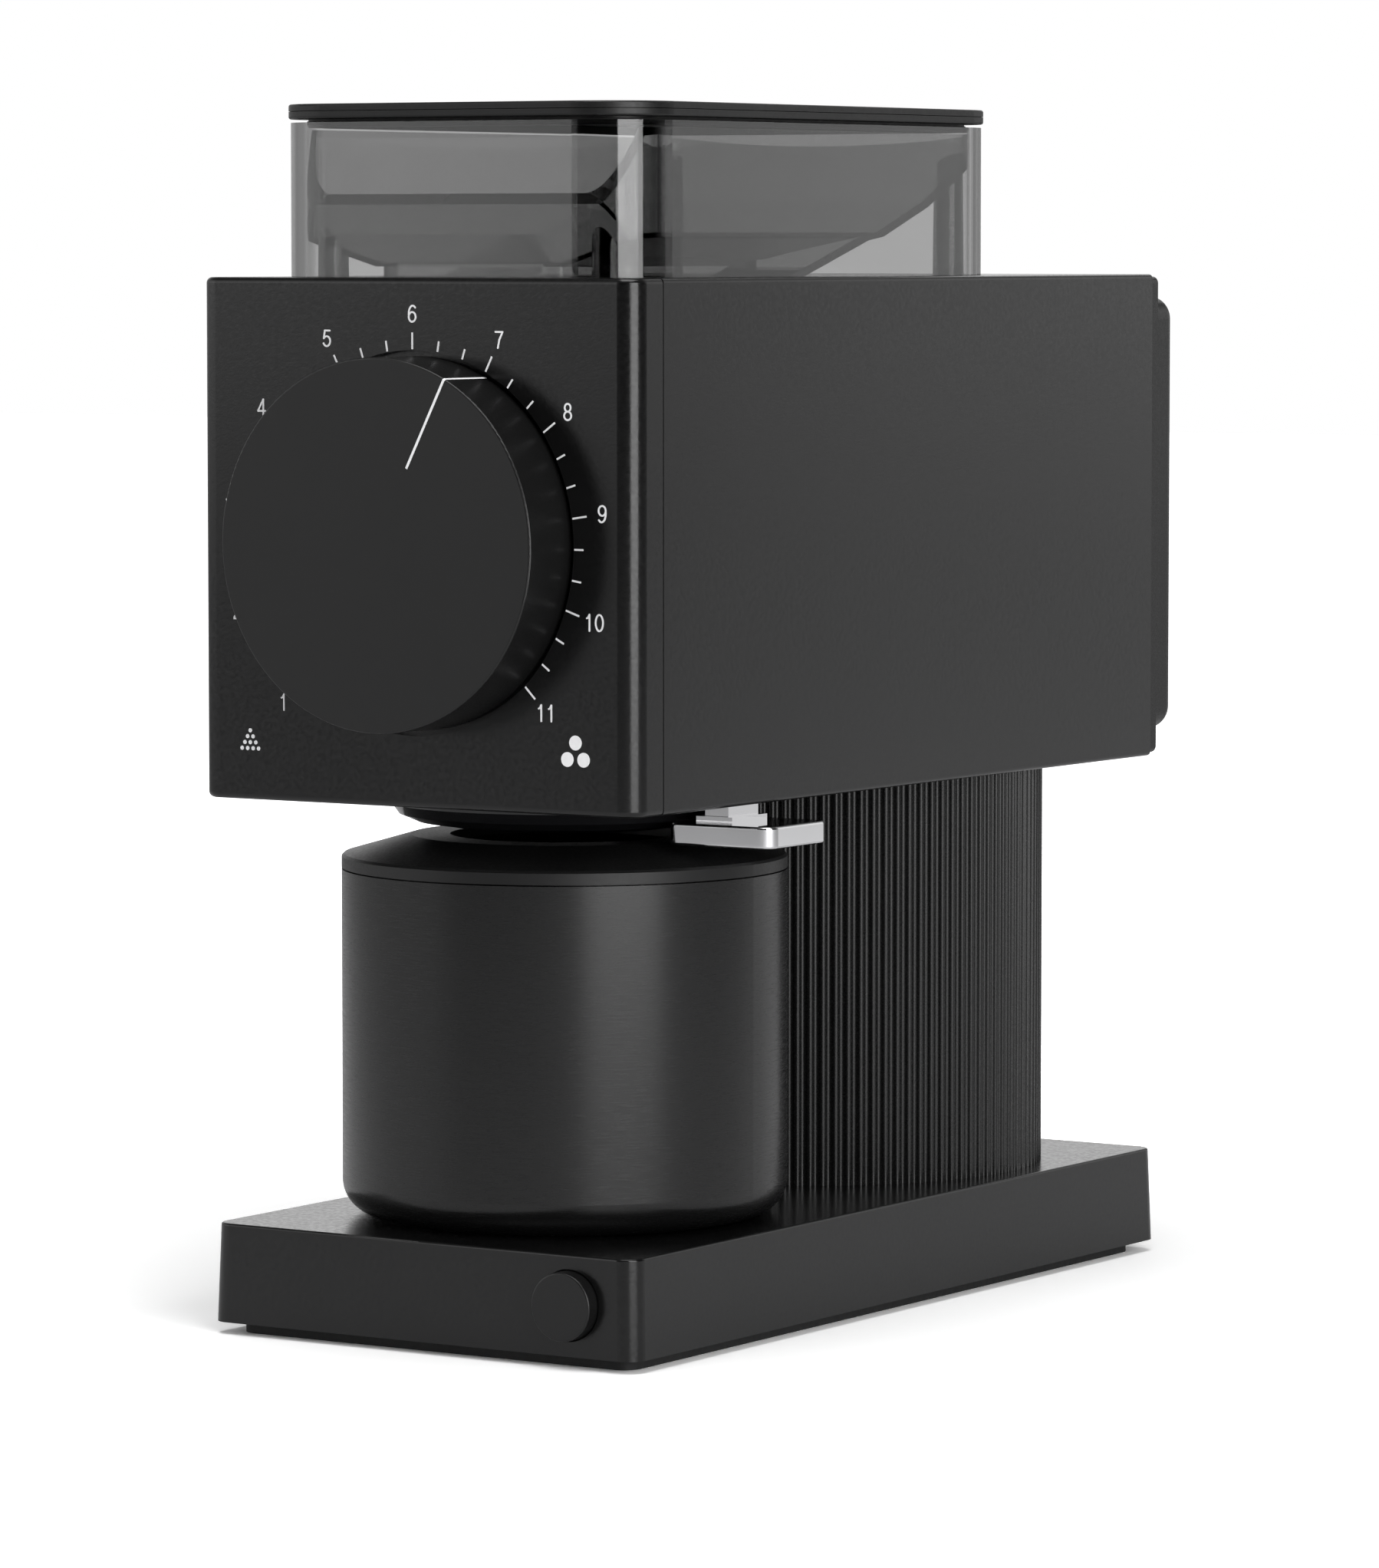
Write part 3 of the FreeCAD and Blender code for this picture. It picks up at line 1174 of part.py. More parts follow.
def commutator():
    y0 = COMMUTATOR_Y0
    y1 = COMMUTATOR_Y0 + COMMUTATOR_L
    top = AXIS_Z + COMMUTATOR_R
    slit = box(-SLIT_HALF, SLIT_HALF, y0 - EPS, y1 + EPS, top - SLIT_DEPTH, top + EPS)
    return ring_y(SHAFT_R, COMMUTATOR_R, y0, y1).cut(Part.makeCompound(around_y(slit, ROTOR_SLOTS)))


def motor_brushes():
    y = COMMUTATOR_Y0 + COMMUTATOR_L / 2
    h = BRUSH_HALF
    x0 = COMMUTATOR_R + BRUSH_GAP
    right = box(x0, x0 + BRUSH_L, y - h, y + h, AXIS_Z - h, AXIS_Z + h)
    return Part.makeCompound([right, right.mirror(V(0, 0, 0), X_DIR)])


def motor_rear_cap():
    cap = ring_y(REAR_BEARING_R, CAN_R, CAN_Y1, CAN_Y1 + REAR_CAP_T)
    port = cyl_y(0, AXIS_Z + CAP_PORT_RING, CAP_PORT_R, CAN_Y1 - EPS, CAN_Y1 + REAR_CAP_T + EPS)
    return cap.cut(Part.makeCompound(around_y(port, CAP_PORTS)))


def cooling_fan():
    hub = ring_y(SHAFT_R, FAN_HUB_R, FAN_Y0, FAN_Y0 + FAN_T)
    blade = box(-FAN_BLADE_HALF, FAN_BLADE_HALF, FAN_Y0, FAN_Y0 + FAN_T,
                AXIS_Z + FAN_BLADE_R0, AXIS_Z + FAN_BLADE_R1)
    blade.rotate(V(0, FAN_Y0 + FAN_T / 2, AXIS_Z), Z_DIR, FAN_TWIST)
    slab = box(-FAN_R, FAN_R, FAN_Y0, FAN_Y0 + FAN_T, AXIS_Z - FAN_R, AXIS_Z + FAN_R)
    blades = [b.common(slab) for b in around_y(blade, FAN_BLADES)]
    return fuse([hub] + blades)


# ---- hopper and lid ------------------------------------------------------
def hopper_outline(inset, z0, z1):
    return rounded_prism(-HOP_HALF + inset, HOP_HALF - inset, HOP_Y0 + inset, HOP_Y1 - inset,
                         HOP_R - inset, z0, z1)


def hopper():
    wall = hopper_outline(0, HEAD_TOP_Z, HOP_TOP_Z)
    return wall.cut(hopper_outline(HOP_WALL, HEAD_TOP_Z - EPS, HOP_TOP_Z + EPS))


def profile(points, along, reach):
    """Closed (across, height) outline, extruded both ways along the other level axis."""
    if along == X_DIR:
        pts = [V(-reach, a, z) for a, z in points]
    else:
        pts = [V(a, -reach, z) for a, z in points]
    return Part.Face(Part.makePolygon(pts + pts[:1])).extrude(along * (2 * reach))


def floor_line(start, toward, falls, z):
    """Points of a floor that climbs away from the outlet, then goes straight up."""
    points = [(start, z)]
    for run, rise in falls:
        start += toward * run
        z += rise
        points.append((start, z))
    return points + [(start, FUNNEL_CUT_Z)]


def funnel_body(inset, grow, neck_z, floor_z):
    """Filled hopper interior: neck, sloping floors above it, then upright walls."""
    x = OUT_HALF_X + grow
    y0 = OUT_Y0 - grow
    y1 = OUT_Y1 + grow
    rear = floor_line(y1, 1, (REAR_LEDGE, REAR_FALL_LOW, REAR_FALL_HIGH), floor_z)
    front = floor_line(y0, -1, (FRONT_FALL,), floor_z)
    side = floor_line(x, 1, (SIDE_FALL,), floor_z)
    left = [(-across, z) for across, z in side]
    lengthways = profile(front[::-1] + rear, X_DIR, BODY_W)
    crossways = profile(left[::-1] + side, Y_DIR, 2 * BODY_W)
    room = hopper_outline(inset, floor_z, FUNNEL_TOP_Z).common(lengthways).common(crossways)
    return fuse([room, rounded_prism(-x, x, y0, y1, OUT_R, neck_z, floor_z)])


def rear_skirt(inset):
    """Full-width sheet that carries the rear slope on down to the head's top."""
    grow = FUNNEL_T - FUNNEL_FIT
    fold_y = OUT_Y1 + grow + REAR_LEDGE[0] + REAR_FALL_LOW[0]
    fold_z = FUNNEL_Z0 + REAR_LEDGE[1] + REAR_FALL_LOW[1]
    slope = (fold_z - HEAD_TOP_Z) / (fold_y - REAR_FOOT_Y)
    back = fold_y - FUNNEL_T / slope
    points = [(REAR_FOOT_Y, HEAD_TOP_Z), (fold_y, fold_z), (back, fold_z)]
    points.append((REAR_FOOT_Y - FUNNEL_T / slope, HEAD_TOP_Z))
    return profile(points, X_DIR, HOP_HALF - inset)


def front_notch():
    """Room that leaves the funnel's walls low at the front and sloping up behind."""
    x = -HOP_HALF
    front = HOP_Y0 - EPS
    corners_yz = [(front, FUNNEL_RIM_Z), (NOTCH_Y0, FUNNEL_RIM_Z), (NOTCH_Y1, HOP_TOP_Z), (front, HOP_TOP_Z)]
    points = [V(x, y, z) for y, z in corners_yz]
    return Part.Face(Part.makePolygon(points + points[:1])).extrude(V(2 * HOP_HALF, 0, 0))


def funnel_posts():
    """Four slightly tapered posts between the head's top and the sloping floor."""
    posts = []
    for x, y in ((FRONT_POST_X, FRONT_POST_Y), (REAR_POST_X, REAR_POST_Y)):
        for side in (-1, 1):
            foot = V(side * x, y, HEAD_TOP_Z)
            posts.append(Part.makeCone(POST_R + POST_TAPER, POST_R, POST_L, foot, Z_DIR))
    return posts


def hopper_funnel():
    inset = HOP_WALL + PLUG_CLEAR / 2
    outer = funnel_body(inset, FUNNEL_T - FUNNEL_FIT, FUNNEL_NECK_Z, FUNNEL_Z0)
    inner = funnel_body(inset + FUNNEL_T, 0, FUNNEL_NECK_Z - EPS, FUNNEL_Z0 + FUNNEL_FLOOR_T)
    shell = outer.fuse(rear_skirt(inset)).cut(inner)
    saddle = cyl_y(0, SADDLE_Z + SADDLE_R, SADDLE_R, SADDLE_Y0, HOP_Y1)
    shell = shell.cut(saddle).cut(front_notch())
    return fuse([shell] + [post.cut(outer) for post in funnel_posts()])


def lid_layer(z0, z1, rounded_z):
    over = LID_OVER
    plate = rounded_prism(-HOP_HALF - over, HOP_HALF + over, HOP_Y0 - over, HOP_Y1 + over,
                          HOP_R + over, z0, z1)
    return fillet_where(plate, LID_EDGE_R, lambda e: in_plane(e, 2, rounded_z))


def lid_cover():
    z0 = LID_Z0 + LID_T + LID_SPLIT
    z1 = LID_Z0 + 2 * LID_T
    cover = lid_layer(z0, z1, z1)
    joint = hopper_outline(PLUG_WALL, LID_Z0 + LID_T, z0)
    return fuse([cover, joint])


def lid_base():
    z1 = LID_Z0 + LID_T
    plate = lid_layer(LID_Z0, z1, LID_Z0)
    inset = HOP_WALL + PLUG_CLEAR
    plug = hopper_outline(inset, LID_Z0 - PLUG_H, LID_Z0)
    hollow = hopper_outline(inset + PLUG_WALL, LID_Z0 - PLUG_H - EPS, LID_Z0)
    return fuse([plate, plug.cut(hollow)])


def lid_seal():
    inset = HOP_WALL + PLUG_CLEAR
    z0 = LID_Z0 - PLUG_H + (PLUG_H - SEAL_H) / 2
    band = hopper_outline(inset - SEAL_OUT, z0, z0 + SEAL_H)
    return band.cut(hopper_outline(inset, z0 - EPS, z0 + SEAL_H + EPS))


# ---- chute, cup and knocker ----------------------------------------------
def grounds_chute():
    """Dished collar under the head with a neck up to the chamber's spout."""
    outline = [(CHUTE_BORE_R, CHUTE_TOP_Z), (CHUTE_NECK_R, CHUTE_TOP_Z), (CHUTE_NECK_R, HEAD_Z0),
               (CHUTE_FLANGE_R, HEAD_Z0), (CHUTE_STEP_R, CHUTE_STEP_Z), (CHUTE_SHOULDER_R, CHUTE_SHOULDER_Z),
               (CHUTE_DISH_R, CHUTE_DISH_Z), (CHUTE_TIP_R, CHUTE_TIP_Z),
               (CHUTE_TIP_R - CHUTE_TIP_W, CHUTE_TIP_Z), (CHUTE_BORE_R, CHUTE_MOUTH_Z)]
    return turned(outline, CUP_AXIS, Z_DIR)


def catch_cup():
    r = CUP_R
    k = CUP_CORNER_R
    block = turned([(0, CUP_Z0), (r, CUP_Z0), (r, CUP_SEAM_Z), (0, CUP_SEAM_Z)], CUP_AXIS, Z_DIR)
    block = fillet_where(block, k, lambda e: in_plane(e, 2, CUP_Z0))
    hollow = turned([(0, CUP_Z0 + CUP_WALL), (r - CUP_WALL, CUP_Z0 + CUP_WALL),
                     (r - CUP_WALL, CUP_SEAM_Z + EPS), (0, CUP_SEAM_Z + EPS)], CUP_AXIS, Z_DIR)
    hollow = fillet_where(hollow, k - CUP_WALL, lambda e: in_plane(e, 2, CUP_Z0 + CUP_WALL))
    return block.cut(hollow)


def cup_lid():
    """Cone-shaped lid with a skirt that enters the cup and a groove for its seal."""
    t = CUP_LID_T
    edge = CUP_BAND_EDGE
    z0 = CUP_SEAM_Z + LID_SEAM
    skirt_r = CUP_R - CUP_WALL - SKIRT_GAP
    skirt_z = CUP_SEAM_Z - SKIRT_DEPTH
    groove_r = skirt_r - SEAL_GROOVE_D
    groove_z = SEAL_GROOVE_Z + SEAL_GROOVE_H
    outside = [(CUP_R, z0), (CUP_R, CUP_BAND_TOP_Z - edge), (CUP_R - edge, CUP_BAND_TOP_Z),
               (CUP_CONE_R, CUP_TOP_Z), (CUP_MOUTH_R, CUP_TOP_Z)]
    inside = [(CUP_MOUTH_R, CUP_TOP_Z - t), (CUP_CONE_R, CUP_TOP_Z - t), (skirt_r - t, CUP_BAND_TOP_Z - t),
              (skirt_r - t, skirt_z), (skirt_r, skirt_z)]
    groove = [(skirt_r, SEAL_GROOVE_Z), (groove_r, SEAL_GROOVE_Z), (groove_r, groove_z),
              (skirt_r, groove_z), (skirt_r, z0)]
    return turned(outside + inside + groove, CUP_AXIS, Z_DIR)


def cup_lid_seal():
    """Soft ring in the lid's groove that just reaches the cup's wall."""
    z0 = SEAL_GROOVE_Z
    z1 = SEAL_GROOVE_Z + SEAL_GROOVE_H
    lip = CUP_R - CUP_WALL - SEAL_LIP_GAP
    root = lip - SEAL_DEPTH
    outline = [(root, z0), (lip, z0 + SEAL_LIP_H), (lip, z1 - SEAL_LIP_H), (root, z1)]
    return turned(outline, CUP_AXIS, Z_DIR)


def knocker_lever():
    """Flat chrome paddle, riser through the head floor, arm on the pivot, striking nose."""
    paddle = rounded_prism(LEVER_X0, LEVER_X1, LEVER_Y0, LEVER_Y1, LEVER_CORNER_R, LEVER_Z0, LEVER_Z1)
    paddle = fillet_where(paddle, LEVER_EDGE_R,
                          lambda e: in_plane(e, 2, LEVER_Z0) or in_plane(e, 2, LEVER_Z1))
    riser = box(RISER_X0, RISER_X1, RISER_Y0, RISER_Y1, LEVER_Z1 - EPS, PIVOT_Z)
    step = box(RISER_X0 - STEP_OUT_X, RISER_X1 + STEP_OUT_X, RISER_Y0 - STEP_OUT_Y, RISER_Y1 + STEP_OUT_Y,
               LEVER_Z1 - EPS, LEVER_Z1 + STEP_H)
    arm = box(PIVOT_X, RISER_X1, RISER_Y0, RISER_Y1, PIVOT_Z - ARM_HALF, PIVOT_Z + ARM_HALF)
    hub = cyl_y(PIVOT_X, PIVOT_Z, LEVER_HUB_R, RISER_Y0, RISER_Y1)
    nose = box(NOSE_X, PIVOT_X, NOSE_Y0, RISER_Y1, PIVOT_Z - ARM_HALF, PIVOT_Z + ARM_HALF)
    bore = cyl_y(PIVOT_X, PIVOT_Z, PIN_R + RUN_FIT, RISER_Y0 - EPS, RISER_Y1 + EPS)
    return fuse([paddle, riser, step, arm, hub, nose]).cut(bore)


def lever_bracket():
    """Two cheeks on a foot that carry the lever's pin."""
    x0 = PIVOT_X - LEVER_HUB_R
    x1 = PIVOT_X + LEVER_HUB_R
    near = RISER_Y0 - CHEEK_GAP
    far = RISER_Y1 + CHEEK_GAP
    top = PIVOT_Z + LEVER_HUB_R
    cheeks = [box(x0, x1, near - CHEEK_T, near, HEAD_FLOOR_Z, top),
              box(x0, x1, far, far + CHEEK_T, HEAD_FLOOR_Z, top)]
    foot = box(x0, x1, near - CHEEK_T, far + CHEEK_T, HEAD_FLOOR_Z, HEAD_FLOOR_Z + PLATE_T)
    hole = cyl_y(PIVOT_X, PIVOT_Z, PIN_R, near - CHEEK_T - EPS, far + CHEEK_T + EPS)
    return fuse(cheeks + [foot]).cut(hole)


def lever_pin():
    """Pin through both cheeks that also carries the return spring."""
    y1 = RISER_Y1 + CHEEK_GAP + CHEEK_T + COIL_L
    return cyl_y(PIVOT_X, PIVOT_Z, PIN_R, RISER_Y0 - CHEEK_GAP - CHEEK_T, y1)


def lever_spring():
    """Torsion coil outside the rear cheek, around the pin's line."""
    far = RISER_Y1 + CHEEK_GAP + CHEEK_T
    spring = coil(COIL_R, COIL_WIRE_R, COIL_L - 2 * COIL_WIRE_R, COIL_TURNS)
    spring.rotate(V(0, 0, 0), X_DIR, -90)
    spring.translate(V(PIVOT_X, far + COIL_WIRE_R, PIVOT_Z))
    return spring


# ---- write one file per piece --------------------------------------------
PIECES = {
    "foot_mat": foot_mat,
    "base_shell": base_shell,
    "base_plate": base_plate,
    "base_screws": base_screws,
    "cord_inlet": cord_inlet,
    "start_button": start_button,
    "button_spring": button_spring,
    "start_switch": start_switch,
    "column_sleeve": column_sleeve,
    "column_core": column_core,
    "core_screws": core_screws,
    "control_board": control_board,
    "filter_capacitor": filter_capacitor,
    "front_bezel": front_bezel,
    "head_housing": head_housing,
    "rear_plate": rear_plate,
    "rear_cover": rear_cover,
    "rear_screws": rear_screws,
    "scale_marks": scale_marks,
    "adjustment_dial": adjustment_dial,
    "dial_pointer": dial_pointer,
    "dial_hub": dial_hub,
    "hub_screws": hub_screws,
    "detent_ring": detent_ring,
    "detent_ball": detent_ball,
    "adjuster_ring": adjuster_ring,
    "outer_burr_carrier": outer_burr_carrier,
    "outer_burr": lambda: flat_burr(OUTER_BURR_Y0, OUTER_BURR_Y1),
    "outer_burr_screws": lambda: burr_screws(OUTER_BURR_Y1, -1),
    "inner_burr": lambda: flat_burr(INNER_BURR_Y1, INNER_BURR_Y0),
    "inner_burr_screws": lambda: burr_screws(INNER_BURR_Y0, 1),
    "inner_burr_carrier": inner_burr_carrier,
    "feed_auger": feed_auger,
    "grinding_chamber": grinding_chamber,
    "bean_chute": bean_chute,
    "motor_shaft": motor_shaft,
    "front_bearing": front_bearing,
    "rear_bearing": rear_bearing,
    "motor_mount_plate": motor_mount_plate,
    "motor_can": motor_can,
    "motor_magnets": motor_magnets,
    "motor_rotor": motor_rotor,
    "rotor_windings": rotor_windings,
    "commutator": commutator,
    "motor_brushes": motor_brushes,
    "motor_rear_cap": motor_rear_cap,
    "cooling_fan": cooling_fan,
    "hopper": hopper,
    "hopper_funnel": hopper_funnel,
    "lid_cover": lid_cover,
    "lid_base": lid_base,
    "lid_seal": lid_seal,
    "grounds_chute": grounds_chute,
    "catch_cup": catch_cup,
    "cup_lid": cup_lid,
    "cup_lid_seal": cup_lid_seal,
    "knocker_lever": knocker_lever,
    "lever_bracket": lever_bracket,
    "lever_pin": lever_pin,
    "lever_spring": lever_spring,
}

os.makedirs("parts", exist_ok=True)
for name, make in PIECES.items():
    make().exportStep("parts/" + name + ".step")
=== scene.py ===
import json
import math

import bpy
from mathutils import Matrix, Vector


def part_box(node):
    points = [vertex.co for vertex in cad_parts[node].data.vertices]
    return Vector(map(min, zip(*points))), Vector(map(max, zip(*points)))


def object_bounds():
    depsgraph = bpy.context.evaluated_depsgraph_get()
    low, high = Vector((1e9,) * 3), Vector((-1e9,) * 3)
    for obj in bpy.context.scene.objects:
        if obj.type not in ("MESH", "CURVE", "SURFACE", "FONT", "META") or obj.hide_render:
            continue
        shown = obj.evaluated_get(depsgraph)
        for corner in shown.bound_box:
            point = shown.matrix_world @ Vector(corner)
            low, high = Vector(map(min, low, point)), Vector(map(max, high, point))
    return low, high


# Looks of a burr coffee grinder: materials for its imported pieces, studio and camera.
# Everything is in metres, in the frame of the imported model.

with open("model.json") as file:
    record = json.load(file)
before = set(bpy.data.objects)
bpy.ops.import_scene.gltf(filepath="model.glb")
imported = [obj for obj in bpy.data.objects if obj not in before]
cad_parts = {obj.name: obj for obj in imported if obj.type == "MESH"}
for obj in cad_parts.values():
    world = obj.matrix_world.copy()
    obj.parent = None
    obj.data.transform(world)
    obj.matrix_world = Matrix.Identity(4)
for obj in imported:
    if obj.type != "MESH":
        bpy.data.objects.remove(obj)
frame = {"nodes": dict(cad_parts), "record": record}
cad_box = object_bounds()
nodes = frame["nodes"]
record = frame["record"]


# ---- node material helpers ---------------------------------------------------
NOISE_LOW = 0.3      # nearly all of a noise lies between these two values
NOISE_HIGH = 0.7
DARKER = 0.88        # slow changes of tone, as parts of the base tone
LIGHTER = 1.12


class Shader:
    """A material with a Principled BSDF and short calls to add and join nodes."""

    def __init__(self, name):
        self.material = bpy.data.materials.new(name)
        self.material.use_nodes = True
        self.tree = self.material.node_tree
        self.bsdf = self.tree.nodes["Principled BSDF"]
        self.output = self.tree.nodes["Material Output"]

    def node(self, kind, **values):
        made = self.tree.nodes.new(kind)
        for key, value in values.items():
            setattr(made, key, value)
        return made

    def link(self, a, b):
        self.tree.links.new(a, b)

    def put(self, **values):
        for key, value in values.items():
            socket = self.bsdf.inputs[key.replace("_", " ")]
            socket.default_value = value

    def position(self, stretch=(1, 1, 1)):
        """Object coordinates in metres, stretched along each axis."""
        coords = self.node("ShaderNodeTexCoord")
        mapping = self.node("ShaderNodeMapping")
        mapping.inputs["Scale"].default_value = stretch
        self.link(coords.outputs["Object"], mapping.inputs["Vector"])
        return mapping.outputs["Vector"]

    def noise(self, vector, scale, detail=2.0, roughness=0.5):
        made = self.node("ShaderNodeTexNoise")
        made.inputs["Scale"].default_value = scale
        made.inputs["Detail"].default_value = detail
        made.inputs["Roughness"].default_value = roughness
        self.link(vector, made.inputs["Vector"])
        return made.outputs["Fac"]

    def ramp(self, factor, low, high):
        """Maps the usual span of a noise to low..high, both numbers."""
        made = self.node("ShaderNodeMapRange")
        made.inputs["From Min"].default_value = NOISE_LOW
        made.inputs["From Max"].default_value = NOISE_HIGH
        made.inputs["To Min"].default_value = low
        made.inputs["To Max"].default_value = high
        self.link(factor, made.inputs["Value"])
        return made.outputs["Result"]

    def colours(self, factor, dark, light):
        """Maps the usual span of a noise to a blend of two colours."""
        made = self.node("ShaderNodeValToRGB")
        ends = made.color_ramp.elements
        ends[0].position = NOISE_LOW
        ends[0].color = (*dark, 1)
        ends[1].position = NOISE_HIGH
        ends[1].color = (*light, 1)
        self.link(factor, made.inputs["Fac"])
        return made.outputs["Color"]

    def bump(self, height, distance, under=None):
        made = self.node("ShaderNodeBump")
        made.inputs["Distance"].default_value = distance
        made.inputs["Strength"].default_value = 1.0
        self.link(height, made.inputs["Height"])
        if under is not None:
            self.link(under, made.inputs["Normal"])
        return made.outputs["Normal"]


def grey(value):
    return (value, value, value * 1.01)


def grained(name, base, roughness, grain, depth, specular=0.5, metallic=0.0):
    """Satin surface with a fine grain and slow changes of tone and gloss."""
    s = Shader(name)
    s.put(Metallic=metallic, Specular_IOR_Level=specular)
    at = s.position()
    cloud = s.noise(at, scale=28.0, detail=4.0, roughness=0.6)
    fine = s.noise(at, scale=1.0 / grain, detail=2.0, roughness=0.55)
    speck = s.noise(at, scale=0.45 / grain, detail=1.0, roughness=0.5)
    tone = s.colours(cloud, grey(base * DARKER), grey(base * LIGHTER))
    s.link(tone, s.bsdf.inputs["Base Color"])
    s.link(s.ramp(speck, roughness - 0.04, roughness + 0.05), s.bsdf.inputs["Roughness"])
    coarse = s.bump(speck, depth * 0.6)
    s.link(s.bump(fine, depth, under=coarse), s.bsdf.inputs["Normal"])
    return s.material


HAIRS = (9.0, 2600.0, 1.0)  # brush lines: changes per radian round the axis, and per metre up it


def brushed_round(name, base, roughness, centre, depth, specular):
    """Surface brushed around a vertical axis through centre."""
    s = Shader(name)
    s.put(Specular_IOR_Level=specular)
    at = s.position()
    moved = s.node("ShaderNodeVectorMath", operation="SUBTRACT")
    moved.inputs[1].default_value = (centre[0], centre[1], 0)
    s.link(at, moved.inputs[0])
    split = s.node("ShaderNodeSeparateXYZ")
    s.link(moved.outputs["Vector"], split.inputs["Vector"])
    angle = s.node("ShaderNodeMath", operation="ARCTAN2")
    s.link(split.outputs["Y"], angle.inputs[0])
    s.link(split.outputs["X"], angle.inputs[1])
    flat = s.node("ShaderNodeCombineXYZ")
    s.link(angle.outputs["Value"], flat.inputs["X"])
    s.link(split.outputs["Z"], flat.inputs["Y"])
    hairs = s.node("ShaderNodeMapping")
    hairs.inputs["Scale"].default_value = HAIRS
    s.link(flat.outputs["Vector"], hairs.inputs["Vector"])
    lines = s.noise(hairs.outputs["Vector"], scale=1.0, detail=3.0, roughness=0.6)
    grain = s.noise(at, scale=2200.0, detail=1.0, roughness=0.5)
    cloud = s.noise(at, scale=22.0, detail=3.0, roughness=0.5)
    s.link(s.colours(cloud, grey(base * DARKER), grey(base * LIGHTER)), s.bsdf.inputs["Base Color"])
    s.link(s.ramp(lines, roughness - 0.05, roughness + 0.06), s.bsdf.inputs["Roughness"])
    under = s.bump(grain, depth * 0.5)
    s.link(s.bump(lines, depth, under=under), s.bsdf.inputs["Normal"])
    return s.material


def polished(name, colour, roughness, metallic):
    """Smooth surface with faint wipe marks in its gloss."""
    s = Shader(name)
    s.put(Metallic=metallic)
    at = s.position((1, 1, 3))
    wipe = s.noise(at, scale=90.0, detail=4.0, roughness=0.65)
    tone = s.noise(at, scale=30.0, detail=2.0, roughness=0.5)
    low = tuple(c * 0.94 for c in colour)
    s.link(s.colours(tone, low, colour), s.bsdf.inputs["Base Color"])
    s.link(s.ramp(wipe, roughness * 0.6, roughness * 1.4), s.bsdf.inputs["Roughness"])
    s.link(s.bump(wipe, 0.000004), s.bsdf.inputs["Normal"])
    return s.material


def smoky(name, density, roughness):
    """Transparent plastic whose own depth darkens it."""
    s = Shader(name)
    s.put(Base_Color=(1, 1, 1, 1), Transmission_Weight=1.0, IOR=1.49)
    at = s.position()
    haze = s.noise(at, scale=60.0, detail=3.0, roughness=0.6)
    s.link(s.ramp(haze, roughness * 0.5, roughness * 1.5), s.bsdf.inputs["Roughness"])
    s.link(s.bump(s.noise(at, scale=25.0, detail=1.0, roughness=0.4), 0.00001), s.bsdf.inputs["Normal"])
    volume = s.node("ShaderNodeVolumeAbsorption")
    volume.inputs["Color"].default_value = (0.0, 0.0, 0.0, 1)
    volume.inputs["Density"].default_value = density
    s.link(volume.outputs["Volume"], s.output.inputs["Volume"])
    return s.material


# ---- materials ---------------------------------------------------------------
cup_low, cup_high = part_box("catch_cup")
cup_centre = (cup_low + cup_high) / 2

shell = grained("powder_coat", base=0.004, roughness=0.22, grain=0.00042, depth=0.000007, specular=0.41)
cover = grained("cover_coat", base=0.004, roughness=0.27, grain=0.00042, depth=0.000007, specular=0.28)
column = grained("column_coat", base=0.006, roughness=0.26, grain=0.0003, depth=0.000003, specular=0.40)
dial = grained("dial_satin", base=0.0045, roughness=0.38, grain=0.0002, depth=0.000004, specular=0.40)
ink = grained("printed_ink", base=0.88, roughness=0.5, grain=0.0003, depth=0.000004)
cup = brushed_round("cup_anodised", base=0.005, roughness=0.25, centre=cup_centre, depth=0.0000015,
                    specular=0.43)
lid = grained("lid_satin", base=0.008, roughness=0.40, grain=0.0003, depth=0.000004, specular=0.33)
smoke = smoky("smoky_plastic", density=165.0, roughness=0.01)
deep_smoke = smoky("smoky_plastic_deep", density=400.0, roughness=0.01)
chute = polished("chute_gloss", colour=(0.010, 0.010, 0.011), roughness=0.12, metallic=0.0)
chrome = polished("chrome", colour=(0.72, 0.72, 0.73), roughness=0.035, metallic=1.0)
rubber = grained("rubber", base=0.012, roughness=0.7, grain=0.0006, depth=0.00003)
steel = polished("ground_steel", colour=(0.56, 0.56, 0.57), roughness=0.26, metallic=1.0)
zinc = polished("zinc_plate", colour=(0.50, 0.51, 0.53), roughness=0.34, metallic=1.0)
alloy = grained("cast_alloy", base=0.46, roughness=0.48, grain=0.0007, depth=0.00003, metallic=1.0)
brass = polished("brass", colour=(0.62, 0.46, 0.20), roughness=0.24, metallic=1.0)
copper = polished("copper_wire", colour=(0.55, 0.24, 0.10), roughness=0.3, metallic=1.0)
board = polished("circuit_board", colour=(0.03, 0.13, 0.06), roughness=0.3, metallic=0.0)
plastic = grained("moulded_plastic", base=0.030, roughness=0.5, grain=0.0004, depth=0.00002)
sleeve = polished("capacitor_sleeve", colour=(0.03, 0.05, 0.13), roughness=0.25, metallic=0.0)
ferrite = grained("ferrite", base=0.07, roughness=0.6, grain=0.0005, depth=0.00002)

BY_SLOT = {
    "shell_black": shell, "column_black": column, "dial_black": dial, "ink_white": ink,
    "cup_black": cup, "lid_black": lid, "smoke_clear": smoke, "chute_black": chute,
    "lever_chrome": chrome, "rubber_black": rubber, "steel": steel, "zinc": zinc,
    "cast_alloy": alloy, "brass": brass, "copper": copper, "board_green": board,
    "part_plastic": plastic, "capacitor_blue": sleeve, "magnet_grey": ferrite,
}

for part in record["subparts"]:
    piece = nodes[part["node"]]
    piece.data.materials.clear()
    piece.data.materials.append(BY_SLOT[part["material_slot"]])
